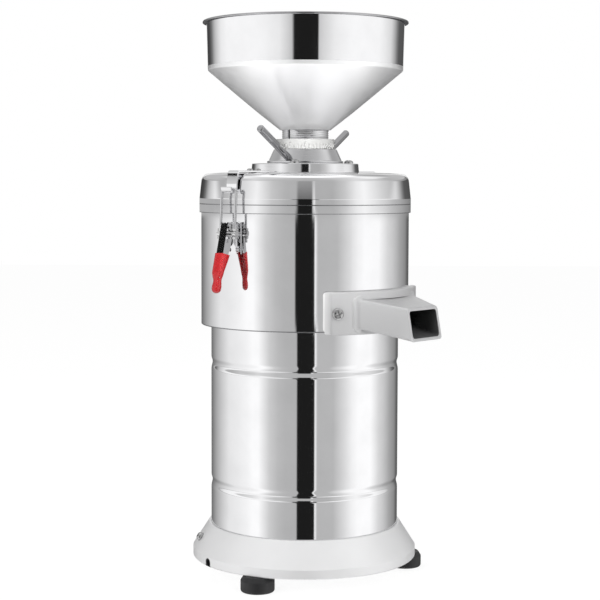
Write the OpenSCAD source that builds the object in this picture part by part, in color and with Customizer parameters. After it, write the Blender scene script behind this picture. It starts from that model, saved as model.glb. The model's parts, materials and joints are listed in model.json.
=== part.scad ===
// Nut butter grinder: an upright motor in a round steel barrel turns the lower of two
// dressed stones, a threaded nut with two handles sets the gap above it, and a hopper
// feeds the eye of the upper stone. Z is up from the floor, the front faces -Y, and the
// origin is the middle of the footprint, spout and switches included. Each module draws
// its piece round the machine's axis; an azimuth is an angle from the front towards +X.

/* [Feet] */
// Height of a rubber foot below the casting
foot_h = 17; // [15:1:24]
// Radius of a foot at its flat ends
foot_r = 15.8; // [13:0.1:18]
// How far a foot's side stands out past its flat ends
foot_bulge = 2.1; // [1.5:0.1:3]
// Radius of the circle that the feet stand on
foot_circle_r = 112.5; // [106:0.5:114]
// Azimuth of the first foot
foot_azimuth = -25.5; // [-32:0.5:-20]
// Radius of the screw that holds a foot
foot_screw_r = 3; // [2.5:0.5:4]
// Depth of the recess for the screw's head
foot_recess = 9; // [6:0.5:11]

/* [Base casting] */
// Radius of the casting's lower edge
skirt_r = 122.4; // [120:0.1:126]
// Height of the upright band at the lower edge
band_h = 10; // [6:0.5:14]
// Height from the lower edge to the seat of the barrel
base_h = 33; // [32:0.5:42]
// Height of the rim that stands round the barrel
rim_h = 4; // [2:0.5:8]
// Width of the rim's flat top
rim_w = 2.6; // [1.5:0.1:4]
// Wall of the casting
cast_t = 5; // [4:0.5:6]
// Thickness of the ledge that carries the motor
ledge_t = 6; // [5:0.5:8]
// Radius of the air opening in the ledge
ledge_hole_r = 70; // [62:1:74]
// Thickness of the sheet that closes the base
plate_t = 1.5; // [1:0.1:2.5]
// Width of the cord notch
notch_w = 10; // [9:0.5:14]
// Height of the cord notch
notch_h = 9; // [8:0.5:13]
// Azimuth of the cord notch
notch_azimuth = -57; // [-62:1:-52]
// Radius of the bore for the cord
cord_bore_r = 3.6; // [2.5:0.1:3.9]
// Azimuth of the earth screw
ground_azimuth = -78; // [-84:1:-72]

/* [Barrel] */
// Outer radius of the motor barrel
barrel_r = 102.4; // [100:0.1:103]
// Length of the motor barrel
barrel_h = 222; // [212:1:244]
// Thickness of the barrel and chamber sheet
sheet_t = 1.2; // [1:0.1:1.5]
// Height of the lower rolled groove above the seat
groove_low = 50.5; // [44:0.5:58]
// Height of the upper rolled groove above the seat
groove_high = 180.5; // [170:0.5:188]
// Depth of the rolled grooves
groove_depth = 1.4; // [0.8:0.1:2.4]
// Height of a rolled groove
groove_w = 15; // [10:0.5:20]

/* [Chamber and lid] */
// Outer radius of the grinding chamber's shell
chamber_r = 113.3; // [112:0.1:116]
// Height of the chamber's shell
chamber_h = 130; // [127:0.5:140]
// Thickness of the lid's metal
lid_t = 1.7; // [1.4:0.1:2]
// Gap between the lid's skirt and the shell
lid_gap = 0.3; // [0.2:0.05:0.6]
// How far the lid's skirt reaches down over the shell
lid_overlap = 8.4; // [6:0.1:10]
// Height of the lid
lid_h = 43; // [39:0.5:47]
// Height of the upright part of the lid's skirt
lid_wall_h = 15.4; // [12:0.1:19]
// How far the lid's side draws in above the upright part
lid_taper = 2.5; // [1.5:0.1:4]
// Drop of the crown from the lid's flat top to its shoulder
lid_crown = 4.2; // [2.5:0.1:6]
// Radius where the crown starts to slope
crown_r = 92; // [88:1:96]
// Thickness of the lid's seal
seal_t = 2.5; // [2:0.1:3.5]

/* [Grinding set] */
// Thickness of the bowl's floor
bowl_floor_t = 6.8; // [5:0.1:9]
// Inner radius of the bowl
bowl_r = 88; // [82:0.5:90]
// Wall of the bowl
bowl_t = 6; // [5:0.5:8]
// Radius of the stones
stone_r = 65; // [60:0.5:70]
// Thickness of a stone
stone_h = 20; // [16:0.5:22]
// Height of the lower stone above the bowl's floor
stone_lift = 52; // [48:0.5:55]
// Gap between the stones at rest
stone_gap = 0.6; // [0.55:0.05:1]
// Number of main furrows in a stone's face
furrows = 10; // [6:1:12]
// Depth of a furrow
furrow_depth = 1; // [0.5:0.1:1.5]
// Radius of the eye of the upper stone
eye_r = 19; // [18:0.5:22]

/* [Adjuster] */
// Radius of the flange on the lid
flange_r = 58.7; // [56:0.1:62]
// Thickness of the flange on the lid
flange_h = 10; // [8:0.5:12]
// Height of the adjusting nut's cone with its lip
nut_h = 15.1; // [13:0.1:18]
// Radius of the adjusting nut's lip
nut_lip_r = 41.6; // [40:0.1:44]
// Thickness of the adjusting nut's lip
nut_lip_h = 2.5; // [2:0.1:4]
// Radius of the scale ring
ring_r = 31.9; // [31:0.1:35]
// Height of the scale ring
ring_h = 11; // [8:0.5:14]
// Outer radius of the threaded tube that carries the upper stone
tube_r = 25.5; // [25:0.1:26.5]
// Height of the tube that shows above the scale ring
neck_h = 10.3; // [8:0.1:14]
// Radius of a handle rod
handle_r = 4; // [3:0.1:4.5]
// Reach of a handle rod from the axis
handle_reach = 101; // [80:1:105]
// Rise of a handle rod in degrees
handle_rise = 26.6; // [20:0.1:30]
// Azimuth of the first handle rod
handle_azimuth = -29; // [-45:1:-15]
// Running clearance between pieces that turn or slide in each other
run_fit = 0.06; // [0.03:0.01:0.08]

/* [Hopper] */
// Radius of the hopper's foot
hopper_foot_r = 27.9; // [27.5:0.1:30]
// Height of the hopper's cone
cone_h = 64.7; // [58:0.1:75]
// Radius of the hopper's drum
drum_r = 106.2; // [100:0.1:114]
// Height of the hopper's drum
drum_h = 52; // [44:0.5:60]
// Radius of the rolled bead at the hopper's rim
bead_r = 2.8; // [2.4:0.1:3.6]
// Thickness of the hopper's sheet
hopper_t = 1.2; // [1:0.1:1.5]
// Length of the hopper's spigot inside the tube
spigot_h = 28; // [20:1:36]

/* [Spout] */
// Azimuth of the spout
spout_azimuth = 49; // [45:1:53]
// Half the width of the spout's flange
spout_flange_w = 72.5; // [69:0.5:76]
// Height of the spout's flange
spout_flange_h = 44.9; // [42:0.1:48]
// Thickness of the spout's flange
spout_flange_t = 6; // [5:0.5:7]
// Thickness of the spout's gasket
gasket_t = 2.2; // [1.5:0.1:3]
// Half the width of the spout at its root
spout_root_w = 50.5; // [50:0.1:58]
// Half the width of the spout at its mouth
spout_mouth_w = 26; // [20:0.1:30]
// Distance of the mouth's upper lip from the machine's axis
spout_reach = 160.5; // [152:0.1:168]
// How far the lower lip stands out past the upper lip
spout_lip = 7; // [4:0.5:10]
// Drop of the spout's upper side from root to mouth
spout_drop = 9.5; // [7:0.5:14]
// Wall of the spout
spout_t = 3; // [2.4:0.1:3.6]
// Height of the discharge port
port_h = 25; // [22:0.5:28]
// Half the width of the discharge port
port_w = 46; // [40:0.5:46.5]
// Radius of a spout screw
spout_screw_r = 2.5; // [2:0.5:3]

/* [Latches] */
// Azimuth of the front latch
latch_azimuth = -40.5; // [-45:0.5:-37]
// Distance of the lever's pivot from the chamber's wall
pivot_out = 10.7; // [10.3:0.1:12]
// Depth of the lever's pivot below the chamber's upper edge
pivot_down = 22; // [21:0.5:26]
// Distance from the lever's pivot down to the trunnion
trunnion_drop = 7; // [6.8:0.1:7.4]
// How far the trunnion lies inward of the lever's pivot
over_centre = 0.4; // [0.2:0.1:0.6]
// Height of the bail's bar above the lever's pivot
bail_h = 39; // [37:0.5:42]
// Half the distance between the bail's legs
bail_w = 10; // [9.9:0.1:11]
// Radius of the bail's wire
wire_r = 1.5; // [1.3:0.1:1.6]
// Width of the hook strip
hook_w = 14.4; // [12:0.1:14.6]
// Thickness of the hook strip
hook_t = 2; // [1.6:0.1:2.2]
// Inner radius of the hook
hook_r = 3.4; // [3.3:0.1:3.8]
// Half the width of the lever's channel
lever_w = 4.8; // [4.4:0.1:4.9]
// Sheet of the lever and of its ears
lever_t = 1.5; // [1.2:0.1:1.6]
// Length of the lever below its pivot
lever_len = 70; // [62:1:78]
// Outward lean of the closed lever in degrees
lever_lean = 13.5; // [11:0.5:15]
// Thickness of the vinyl on the grip
grip_t = 1.3; // [1:0.1:1.8]

/* [Motor] */
// Radius of the stator core
stator_r = 75; // [72:0.5:78]
// Length of the stator and rotor cores
stack_h = 90; // [70:1:96]
// Radius of the rotor core
rotor_r = 44.8; // [42:0.1:45]
// Air gap between rotor and stator
air_gap = 0.4; // [0.3:0.05:0.6]
// Radius of the shaft under the stone holder
shaft_r = 10; // [9:0.5:10]
// Number of blades on the fan
fan_blades = 9; // [6:1:12]

/* [Switches] */
// Width of the switch's frame
switch_w = 31; // [29:0.5:34]
// Height of the switch's frame
switch_h = 25; // [23:0.5:26]
// Half the angle that the rocker tilts through
rocker_tilt = 9; // [6:0.5:11]
// Radius of the reset button
button_r = 4; // [3:0.1:4.5]
// How far the reset button stands out
button_out = 5; // [4:0.1:7]

/* [Hidden] */
$fn = 96;

// Place of the machine's axis, which puts the origin in the middle of the footprint
axis_x = -10.6;
axis_y = 0.7;

// Colours
polished = "gainsboro";
cast_white = "whitesmoke";
cast_grey = "darkgray";
steel = "silver";
dark = "dimgray";
black = "black";

// Heights from the floor, one on top of the other
z_skirt = foot_h;
z_band = z_skirt + band_h;
z_seat = z_skirt + base_h;
z_rim = z_seat + rim_h;
z_shell = z_seat + barrel_h;
z_shell_top = z_shell + chamber_h;
z_lid_skirt = z_shell_top - lid_overlap;
z_lid = z_lid_skirt + lid_h;
z_flange = z_lid + flange_h;
z_nut = z_flange + 0.3;
z_ring = z_nut + nut_h;
z_nut_top = z_ring + ring_h;
z_neck = z_nut_top + neck_h;
z_drum = z_neck + cone_h;
z_top = z_drum + drum_h;

// Base
rim_r = barrel_r + rim_w;
barrel_fit = 0.2;
cone_slope = (skirt_r - rim_r) / (z_rim - z_band);
cone_lean = atan(cone_slope);
z_ledge = z_seat - ledge_t;
shoulder_r = skirt_r - cone_slope * (z_ledge - z_band) - cast_t / cos(cone_lean);
foot_boss_r = 15;
foot_count = 3;
screw_fit = 0.05;
foot_hole_depth = 14;
lug_w = 14;
lug_reach = 16;
z_plate = z_skirt + plate_t;
vent_count = 12;
capacitor_azimuth = 45;
capacitor_w = 38;
capacitor_len = 58;
capacitor_h = 24;
capacitor_gap = 23.8;
terminal_h = 6;

// Switch boss at the back of the base
switch_azimuth = 180;
boss_w = 76;
boss_face_r = skirt_r + 0.5;
boss_h = 26;
z_boss = z_skirt + 3;
boss_wall = 2.5;
z_switch = z_boss + boss_h / 2;
switch_side = -15;
breaker_side = 22;
switch_body_w = switch_w - 5;
switch_body_h = switch_h - 5;
rocker_w = switch_body_w - 5;
rocker_h = switch_body_h - 4;
bezel_t = 2;
breaker_r = 6;

// Motor
bearing_low = [8.5, 20, 12, 3.3];
bearing_high = [shaft_r, 23.5, 14, 3.9];
z_bearing_low = z_seat + 38;
bearing_lip = 2;
z_low_disc = z_bearing_low + bearing_low[2] + bearing_lip;
winding_h = 18;
z_stack = z_low_disc + winding_h + 3;
z_stack_top = z_stack + stack_h;
z_shield_top = z_shell + sheet_t;
shield_top_t = 10;
bearing_cover_t = 4;
z_bearing_high = z_shield_top - bearing_cover_t - bearing_high[2];
shield_r = 88;
shield_t = 4;
shield_disc_t = 6;
locate_t = 4;
locate_lap = 2;
bolt_circle_r = stator_r + locate_t + 4;
bolt_r = 2.5;
bolt_count = 4;
stator_bore = rotor_r + air_gap;
slot_count = 24;
winding_r = stator_r - 7;
z_fan = z_seat + 10;
fan_h = 18;
fan_r = 58;
fan_hub_r = 16;
key_w = 6;

// Bowl, stones and what turns in the bowl
z_bowl = z_shell + sheet_t;
z_floor = z_bowl + bowl_floor_t;
z_bowl_rim = z_shell_top - 2;
bowl_flange_t = 8;
bowl_fit = 0.2;
shell_floor_r = 96;
seal_r = 18;
z_lower_stone = z_floor + stone_lift;
z_stone_face = z_lower_stone + stone_h;
z_upper_stone = z_stone_face + stone_gap;
z_carrier = z_upper_stone + stone_h;
sweep_gap = 1;
holder_disc_t = 8;
holder_hub_r = 24;
blade_h = 24;
blade_t = 5;
blade_count = 3;
stud_r = 8;
feed_hub_r = 12;
feed_h = 24;
furrow_w = 3.5;
furrow_offset = 18;
carrier_plate_t = 7.4;
carrier_r = stone_r - 1;
tube_bore_r = eye_r + 0.5;

// Lid
lid_r = chamber_r + lid_gap + lid_t;
hub_r = flange_r - 14.2;
lid_hole_r = hub_r + 0.5;
z_lid_plate = z_bowl_rim + seal_t;
lid_plate_r = chamber_r + lid_gap - 1.6;
seal_band = (lid_plate_r - bowl_r) / 8;
lid_web_t = 6;
lid_boss_r = flange_r - 1.7;
flange_screw_circle = flange_r - 8.7;
flange_screw_azimuth = -13;
flange_screw_r = 2.5;
flange_screw_len = 20;

// Adjuster
hub_len = 32;
sleeve_r = tube_r + 9.5;
sleeve_len = 18;
z_stop_groove = z_flange - 13;
groove_in = 2;
stop_r = 1.5;
nut_foot_r = nut_lip_r - 1.6;
nut_top_r = ring_r + 2.4;
ring_fit = 0.05;
ring_bore = tube_r + 2.5;
handle_root = nut_top_r - 4;
z_handle = z_nut + 5.1;
handle_root_z = z_handle - (36 - handle_root) * tan(handle_rise);
guide_azimuth = -45;
guide_w = 4;
guide_depth = 2.4;
guide_h = 16;
z_guide = z_lid - hub_len + 3;

// Hopper
spigot_fit = 0.25;
spigot_r = tube_bore_r - spigot_fit;
throat_r = spigot_r - 1.8;
drum_flare = 1.4;
drum_turn = 4;
bead_circle_r = drum_r + drum_flare + bead_r - 1.7;

// Spout
shell_out = chamber_r + gasket_t;
flange_out = shell_out + spout_flange_t;
z_spout_flange = z_shell - 2.4;
spout_bevel = 2;
root_x = 105;
z_root = z_floor - spout_t;
z_root_top = z_floor + port_h + spout_t;
mouth_h = 34.6;
z_mouth_top = z_root_top - spout_drop;
z_mouth = z_mouth_top - mouth_h;
spout_screw_side = 66;
z_spout_screw = z_shell + 20;
spout_screw_len = spout_flange_t + gasket_t + sheet_t + 8;
spout_boss_r = 7;

// Latches, in the plane through the machine's axis: X outwards, Z up
pivot = [chamber_r + pivot_out, z_shell_top - pivot_down];
trunnion = [pivot[0] - over_centre, pivot[1] - trunnion_drop];
strip_in = lid_r + 0.3;
strip_out = strip_in + hook_t;
bar = [strip_out + hook_r, pivot[1] + bail_h];
hook_centre = [bar[0], bar[1] - wire_r - 0.3 + hook_r];
bail_tilt = atan2(trunnion[0] - bar[0], bar[1] - trunnion[1]);
bail_len = norm(bar - trunnion);
bail_bend = 2.6;
trunnion_r = 3;
pin_r = 2;
ear_gap = 0.3;
ear_in = lever_w + ear_gap;
ear_out = ear_in + lever_t;
latch_plate_t = 1.7;
latch_plate_w = 20;
latch_plate_h = 33;
rivet_side = 5.9;
z_latch_plate = pivot[1] - 28;
latch_wall_r = chamber_r + latch_plate_t;
lever_front = 4.6;
lever_depth = 9.5;
lever_end = lever_len - 16;
taper_start = 22;
grip_start = 29;
bulb_r = 5;
hook_leg_r = 67;
rear_turn = 180;

// Moves a finished piece from the machine's axis to its place in the frame
module placed() {
    translate([axis_x, axis_y, 0]) children();
}

// Places children, drawn with X outwards, at an azimuth round the machine's axis
module toward(azimuth) {
    rotate([0, 0, azimuth - 90]) children();
}

// Copies children evenly round the axis
module around(count, first = 0) {
    for (i = [0 : count - 1]) toward(first + i * 360 / count) children();
}

// A solid disc between two heights
module disc(r, low, high) {
    translate([0, 0, low]) cylinder(h = high - low, r = r);
}

// A ring between two heights
module ring(r_out, r_in, low, high) {
    difference() {
        disc(r_out, low, high);
        disc(r_in, low - 1, high + 1);
    }
}

// An outline in the XZ plane given a thickness along Y, evenly to both sides
module slab(thick) {
    translate([0, thick / 2, 0]) rotate([90, 0, 0]) linear_extrude(thick) children();
}

// A round bar along Y through a point of the XZ plane
module cross_bar(point, r, length) {
    translate([point[0], 0, point[1]]) rotate([90, 0, 0])
        cylinder(h = length, r = r, center = true);
}

// A box from its middle in Y
module bar_box(x, wide, low, high) {
    translate([x[0], -wide / 2, low]) cube([x[1] - x[0], wide, high - low]);
}

// A pan-head screw whose head sits on z = 0 and whose shank points down
module pan_screw(head_r, head_h, shank_r, shank_len) {
    rotate_extrude() polygon([[0, -shank_len], [shank_r, -shank_len], [shank_r, 0],
        [head_r, 0], [head_r, head_h * 0.5], [head_r * 0.86, head_h * 0.84],
        [head_r * 0.5, head_h], [0, head_h]]);
}

// Base casting
module base_body() {
    rotate_extrude() polygon([[0, z_skirt], [skirt_r - 1, z_skirt], [skirt_r, z_skirt + 1],
        [skirt_r, z_band], [rim_r + 0.5 * cone_slope, z_rim - 0.5], [rim_r - 0.4, z_rim],
        [0, z_rim]]);
}

module base_cavity() {
    rotate_extrude() polygon([[0, z_skirt - 1], [skirt_r - cast_t, z_skirt - 1],
        [skirt_r - cast_t, z_band], [shoulder_r, z_ledge], [0, z_ledge]]);
}

module switch_boss(inset) {
    bar_box([ledge_hole_r + 18, boss_face_r - inset], boss_w - 2 * inset,
        z_boss + inset, z_boss + boss_h - inset);
}

module notch(grow) {
    low = z_skirt - 1;
    r = notch_w / 2 + grow;
    z_arch = z_skirt + notch_h - notch_w / 2;
    translate([0, 0, z_arch]) rotate([0, 90, 0]) cylinder(h = skirt_r + 10, r = r);
    bar_box([0, skirt_r + 10], 2 * r, low, z_arch);
}

module ground_place() {
    low = 12;
    toward(ground_azimuth)
        translate([skirt_r - cone_slope * low, 0, z_band + low])
        rotate([0, 90 - cone_lean, 0]) children();
}

module base_casting() {
    color(cast_white) difference() {
        union() {
            difference() {
                union() {
                    base_body();
                    toward(switch_azimuth) switch_boss(0);
                }
                base_cavity();
                toward(switch_azimuth) switch_boss(boss_wall);
            }
            intersection() {
                base_body();
                union() {
                    around(foot_count, foot_azimuth)
                        translate([foot_circle_r, 0, 0]) disc(foot_boss_r, z_skirt, z_ledge + 1);
                    around(foot_count, foot_azimuth + 60)
                        bar_box([skirt_r - cast_t - lug_reach, skirt_r], lug_w, z_plate, z_ledge + 1);
                }
            }
        }
        disc(barrel_r + barrel_fit, z_seat, z_rim + 1);
        disc(ledge_hole_r, z_ledge - 1, z_seat + 1);
        around(foot_count, foot_azimuth)
            translate([foot_circle_r, 0, z_skirt - 1])
            cylinder(h = foot_hole_depth + 1, r = foot_screw_r + screw_fit);
        intersection() {
            toward(notch_azimuth) notch(0);
            ring(skirt_r + 10, skirt_r - cast_t - 1, z_skirt - 1, z_rim);
        }
        ground_place() translate([0, 0, -9]) cylinder(h = 12, r = 2.5 + screw_fit);
        toward(switch_azimuth) {
            translate([boss_face_r - 10, switch_side - switch_body_w / 2 - 0.1,
                z_switch - switch_body_h / 2 - 0.1])
                cube([20, switch_body_w + 0.2, switch_body_h + 0.2]);
            translate([boss_face_r - 10, breaker_side, z_switch]) rotate([0, 90, 0])
                cylinder(h = 20, r = breaker_r + 0.1);
        }
        around(bolt_count) translate([bolt_circle_r, 0, 0])
            disc(bolt_r + screw_fit, z_ledge - 1, z_seat + 1);
    }
}

// A rubber foot: rounded at the floor, bevelled at its top, with a recess for its screw
module rubber_feet() {
    wide = foot_r + foot_bulge;
    color(black) around(foot_count, foot_azimuth) translate([foot_circle_r, 0, 0])
        rotate_extrude() polygon([[8, 0], [foot_r - 0.4, 0], [wide - 0.8, 0.8], [wide, 2.6],
            [wide, foot_h - 5.4], [wide - 0.6, foot_h - 4.2], [foot_r - 1, foot_h],
            [foot_screw_r + 0.3, foot_h], [foot_screw_r + 0.3, foot_recess], [8, foot_recess]]);
}

module foot_screws() {
    color(steel) around(foot_count, foot_azimuth)
        translate([foot_circle_r, 0, foot_recess]) mirror([0, 0, 1])
        pan_screw(6.5, 4.5, foot_screw_r, foot_h - foot_recess + foot_hole_depth - 2);
}

// Earth screw with its toothed washer
module ground_screw() {
    color(steel) ground_place() {
        difference() {
            translate([0, 0, 0.05]) cylinder(h = 0.95, r = 4.8);
            translate([0, 0, -1]) cylinder(h = 3, r = 2.6);
        }
        translate([0, 0, 1]) pan_screw(4.3, 4.2, 2.5, 9);
    }
}

// Rubber lining of the cord notch
module cord_grommet() {
    wall_in = skirt_r - cast_t;
    z_bore = z_skirt + notch_h - notch_w / 2;
    color(black) toward(notch_azimuth) difference() {
        union() {
            intersection() {
                notch(-0.1);
                bar_box([wall_in - 2, skirt_r - 0.6], notch_w, z_skirt, z_band);
            }
            intersection() {
                notch(1.4);
                bar_box([wall_in - 3, wall_in - 1.2], 2 * notch_w, z_plate + 0.2, z_band + 2);
            }
        }
        translate([wall_in - 5, 0, z_bore]) rotate([0, 90, 0])
            cylinder(h = cast_t + 10, r = cord_bore_r);
    }
}

// Sheet that closes the base, with slots for the cooling air
module bottom_plate() {
    color(steel) difference() {
        disc(skirt_r - cast_t - 0.5, z_skirt, z_plate);
        around(foot_count, foot_azimuth) translate([foot_circle_r, 0, 0])
            disc(foot_boss_r + 0.6, z_skirt - 1, z_plate + 1);
        toward(notch_azimuth)
            bar_box([skirt_r - cast_t - 5, skirt_r], notch_w + 4, z_skirt - 1, z_plate + 1);
        around(vent_count, 15) bar_box([34, 62], 5, z_skirt - 1, z_plate + 1);
    }
}

// Flat run capacitor on the bottom plate
module run_capacitor() {
    far_x = skirt_r - cast_t - capacitor_gap;
    color(dark) toward(capacitor_azimuth) translate([far_x - capacitor_w, 0, z_plate]) {
        translate([0, -capacitor_len / 2, 0]) cube([capacitor_w, capacitor_len, capacitor_h]);
        for (side = [0.3, 0.7]) translate([side * capacitor_w,
            -capacitor_len / 2 - terminal_h, (capacitor_h - terminal_h) / 2])
            cube([0.8, terminal_h, terminal_h]);
    }
}

// Frame and body of the power switch
module switch_frame() {
    depth = 20;
    color(black) toward(switch_azimuth) translate([boss_face_r, switch_side, z_switch])
        difference() {
            union() {
                translate([0, -switch_w / 2, -switch_h / 2])
                    cube([bezel_t, switch_w, switch_h]);
                translate([-depth, -switch_body_w / 2, -switch_body_h / 2])
                    cube([depth + 0.5, switch_body_w, switch_body_h]);
            }
            translate([-12, -rocker_w / 2 - 0.5, -rocker_h / 2 - 0.5])
                cube([20, rocker_w + 1, rocker_h + 1]);
        }
}

// Rocker, tilted so that its lower half is pressed in
module switch_rocker() {
    color("firebrick") toward(switch_azimuth) translate([boss_face_r - 5, switch_side, z_switch])
        rotate([0, rocker_tilt, 0]) slab(rocker_w) difference() {
            polygon([[0, -3], [4.5, -rocker_h / 2 + 0.8], [8, -rocker_h / 2 + 1.2],
                [6.6, 0], [8, rocker_h / 2 - 1.2], [4.5, rocker_h / 2 - 0.8], [0, 3]]);
            circle(r = 0.9);
        }
}

// Overload breaker: body inside, threaded collar and nut outside
module breaker_body() {
    color(dark) toward(switch_azimuth) translate([boss_face_r, breaker_side, z_switch])
        rotate([0, 90, 0]) difference() {
            union() {
                translate([-9, -7, -22]) cube([18, 14, 22 - boss_wall]);
                translate([0, 0, -boss_wall]) cylinder(h = boss_wall + 3, r = breaker_r);
                cylinder(h = 2, r = 8.4, $fn = 6);
            }
            translate([0, 0, -9]) cylinder(h = 20, r = button_r + run_fit);
        }
}

module reset_button() {
    color("white") toward(switch_azimuth) translate([boss_face_r, breaker_side, z_switch])
        rotate([0, 90, 0]) translate([0, 0, -6]) rotate_extrude()
        polygon([[0, 0], [button_r, 0], [button_r, 5 + button_out],
            [button_r - 0.8, 6 + button_out], [0, 6.3 + button_out]]);
}

// A cut through one side of the barrel, as [radius, height] points from the bottom up
function rolled_groove(mid, low_w, high_w, depth) = [for (i = [-6 : 6])
    [barrel_r - depth * (1 + cos(180 * i / 6)) / 2,
     mid + (i < 0 ? low_w : high_w) * i / 6]];
barrel_side = concat([[barrel_r, z_seat]],
    rolled_groove(z_seat + groove_low, groove_w * 0.6, groove_w * 0.4, groove_depth),
    rolled_groove(z_seat + groove_high, groove_w * 0.5, groove_w * 0.5, groove_depth),
    [[barrel_r, z_shell]]);

module motor_barrel() {
    inner = [for (i = [len(barrel_side) - 1 : -1 : 0]) barrel_side[i] - [sheet_t, 0]];
    color(polished) rotate_extrude() polygon(concat(barrel_side, inner));
}

// Lower end shield of the motor with its bearing hub and its register for the stator
module lower_end_shield() {
    z_disc_top = z_low_disc;
    z_disc = z_disc_top - shield_disc_t;
    register = stator_r + locate_t;
    foot_edge = bolt_circle_r + 9;
    color(cast_grey) difference() {
        rotate_extrude() polygon([[ledge_hole_r + 4, z_seat], [foot_edge, z_seat],
            [foot_edge, z_seat + 6], [shield_r, z_seat + 6], [shield_r, z_disc_top],
            [register, z_disc_top], [register, z_stack + locate_lap],
            [stator_r + screw_fit, z_stack + locate_lap], [stator_r + screw_fit, z_stack],
            [winding_r + 3, z_stack], [winding_r + 3, z_disc_top], [0, z_disc_top],
            [0, z_bearing_low], [28, z_bearing_low], [28, z_disc],
            [shield_r - shield_t, z_disc], [shield_r - shield_t, z_seat + 6],
            [ledge_hole_r + 4, z_seat + 6]]);
        disc(bearing_low[1] + 0.02, z_bearing_low - 1, z_disc_top - bearing_lip);
        disc(14, z_bearing_low, z_disc_top + 1);
        around(bolt_count) translate([bolt_circle_r, 0, 0])
            disc(bolt_r + screw_fit, z_seat - 1, z_disc_top + 1);
        around(8, 22.5) bar_box([stator_r, shield_r + 5], 30, z_seat + 12, z_disc - 6);
    }
}

// Upper end shield, which also carries the bowl
module upper_end_shield() {
    under = z_shell - shield_top_t;
    register = stator_r + locate_t;
    inside_r = barrel_r - sheet_t - groove_depth - 0.3;
    color(cast_grey) difference() {
        rotate_extrude() polygon([[0, z_bearing_high - 0.5], [32, z_bearing_high - 0.5],
            [32, under], [winding_r + 3, under], [winding_r + 3, z_stack_top],
            [stator_r + screw_fit, z_stack_top], [stator_r + screw_fit, z_stack_top - locate_lap],
            [register, z_stack_top - locate_lap], [register, under],
            [inside_r, under], [inside_r, z_shell], [shell_floor_r - 0.3, z_shell],
            [shell_floor_r - 0.3, z_shield_top], [0, z_shield_top]]);
        disc(bearing_high[1] + 0.02, z_bearing_high - 2, z_bearing_high + bearing_high[2]);
        disc(shaft_r + 3, z_shield_top - 10, z_shield_top + 1);
        around(bolt_count) translate([bolt_circle_r, 0, 0])
            disc(bolt_r + screw_fit, under - 1, z_shield_top - 3);
        around(8, 22.5) bar_box([stator_r - 6, register + 5], 26,
            z_stack_top + 10, under - 6);
    }
}

// Four bolts that clamp the motor between its shields on the base
module tie_bolts() {
    head = 4;
    color(steel) around(bolt_count) translate([bolt_circle_r, 0, 0]) {
        disc(bolt_r, z_ledge - 0.5, z_shield_top - 4);
        translate([0, 0, z_ledge - head]) cylinder(h = head, r = 4.4, $fn = 6);
    }
}

module stator_core() {
    slot_in = stator_bore + 2;
    slot_out = winding_r - 4;
    color(steel) difference() {
        ring(stator_r, stator_bore, z_stack, z_stack_top);
        around(slot_count) {
            bar_box([slot_in, slot_out], 5, z_stack - 1, z_stack_top + 1);
            bar_box([stator_bore - 1, slot_in + 1], 2, z_stack - 1, z_stack_top + 1);
        }
    }
}

// End turns of the windings, and the wire that fills the slots between them
module stator_windings() {
    r_in = stator_bore + 2.2;
    turn = winding_h / 3;
    coil = [[r_in + 2, 0], [winding_r, 0], [winding_r, winding_h - turn],
        [winding_r - turn, winding_h], [r_in + turn, winding_h], [r_in, winding_h - turn],
        [r_in, 2]];
    color("peru") {
        translate([0, 0, z_stack_top]) rotate_extrude() polygon(coil);
        translate([0, 0, z_stack]) mirror([0, 0, 1]) rotate_extrude() polygon(coil);
        around(slot_count)
            bar_box([r_in + 2.4, winding_r - 4.4], 4.6, z_stack - 0.5, z_stack_top + 0.5);
    }
}

// One race of a bearing: b is [bore, outer radius, width, ball radius]
module outer_race(b) {
    mid = (b[0] + b[1]) / 2;
    rotate_extrude() difference() {
        translate([mid + b[3] * 0.55, 0]) square([b[1] - mid - b[3] * 0.55, b[2]]);
        translate([mid, b[2] / 2]) circle(r = b[3] + 0.03);
    }
}

module inner_race(b) {
    mid = (b[0] + b[1]) / 2;
    rotate_extrude() difference() {
        translate([b[0], 0]) square([mid - b[3] * 0.55 - b[0], b[2]]);
        translate([mid, b[2] / 2]) circle(r = b[3] + 0.03);
    }
}

module bearing_outer_rings() {
    color(steel) {
        translate([0, 0, z_bearing_low]) outer_race(bearing_low);
        translate([0, 0, z_bearing_high]) outer_race(bearing_high);
    }
}

module bearing_inner_rings() {
    color(steel) {
        translate([0, 0, z_bearing_low]) inner_race(bearing_low);
        translate([0, 0, z_bearing_high]) inner_race(bearing_high);
    }
}

module bearing_balls() {
    color(steel) {
        around(9) translate([(bearing_low[0] + bearing_low[1]) / 2, 0,
            z_bearing_low + bearing_low[2] / 2]) sphere(r = bearing_low[3]);
        around(9) translate([(bearing_high[0] + bearing_high[1]) / 2, 0,
            z_bearing_high + bearing_high[2] / 2]) sphere(r = bearing_high[3]);
    }
}

// Shell of the grinding chamber: a can whose floor rests on the barrel
module chamber_shell() {
    inside_r = chamber_r - sheet_t;
    color(polished) difference() {
        rotate_extrude() polygon([[shell_floor_r, z_shell], [chamber_r, z_shell],
            [chamber_r, z_shell_top], [inside_r, z_shell_top],
            [inside_r, z_bowl], [shell_floor_r, z_bowl]]);
        toward(spout_azimuth) {
            port(0);
            spout_screw_places() cylinder(h = 40, r = spout_screw_r + 0.3, center = true);
        }
        latch_places() rivet_places() cylinder(h = 20, r = 1.65, center = true);
    }
}

// The way out of the bowl, a little wider where grow is more than nothing
module port(grow) {
    bar_box([bowl_r - 8, flange_out + 20], 2 * (port_w + grow), z_floor - grow,
        z_floor + port_h + grow);
}

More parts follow.
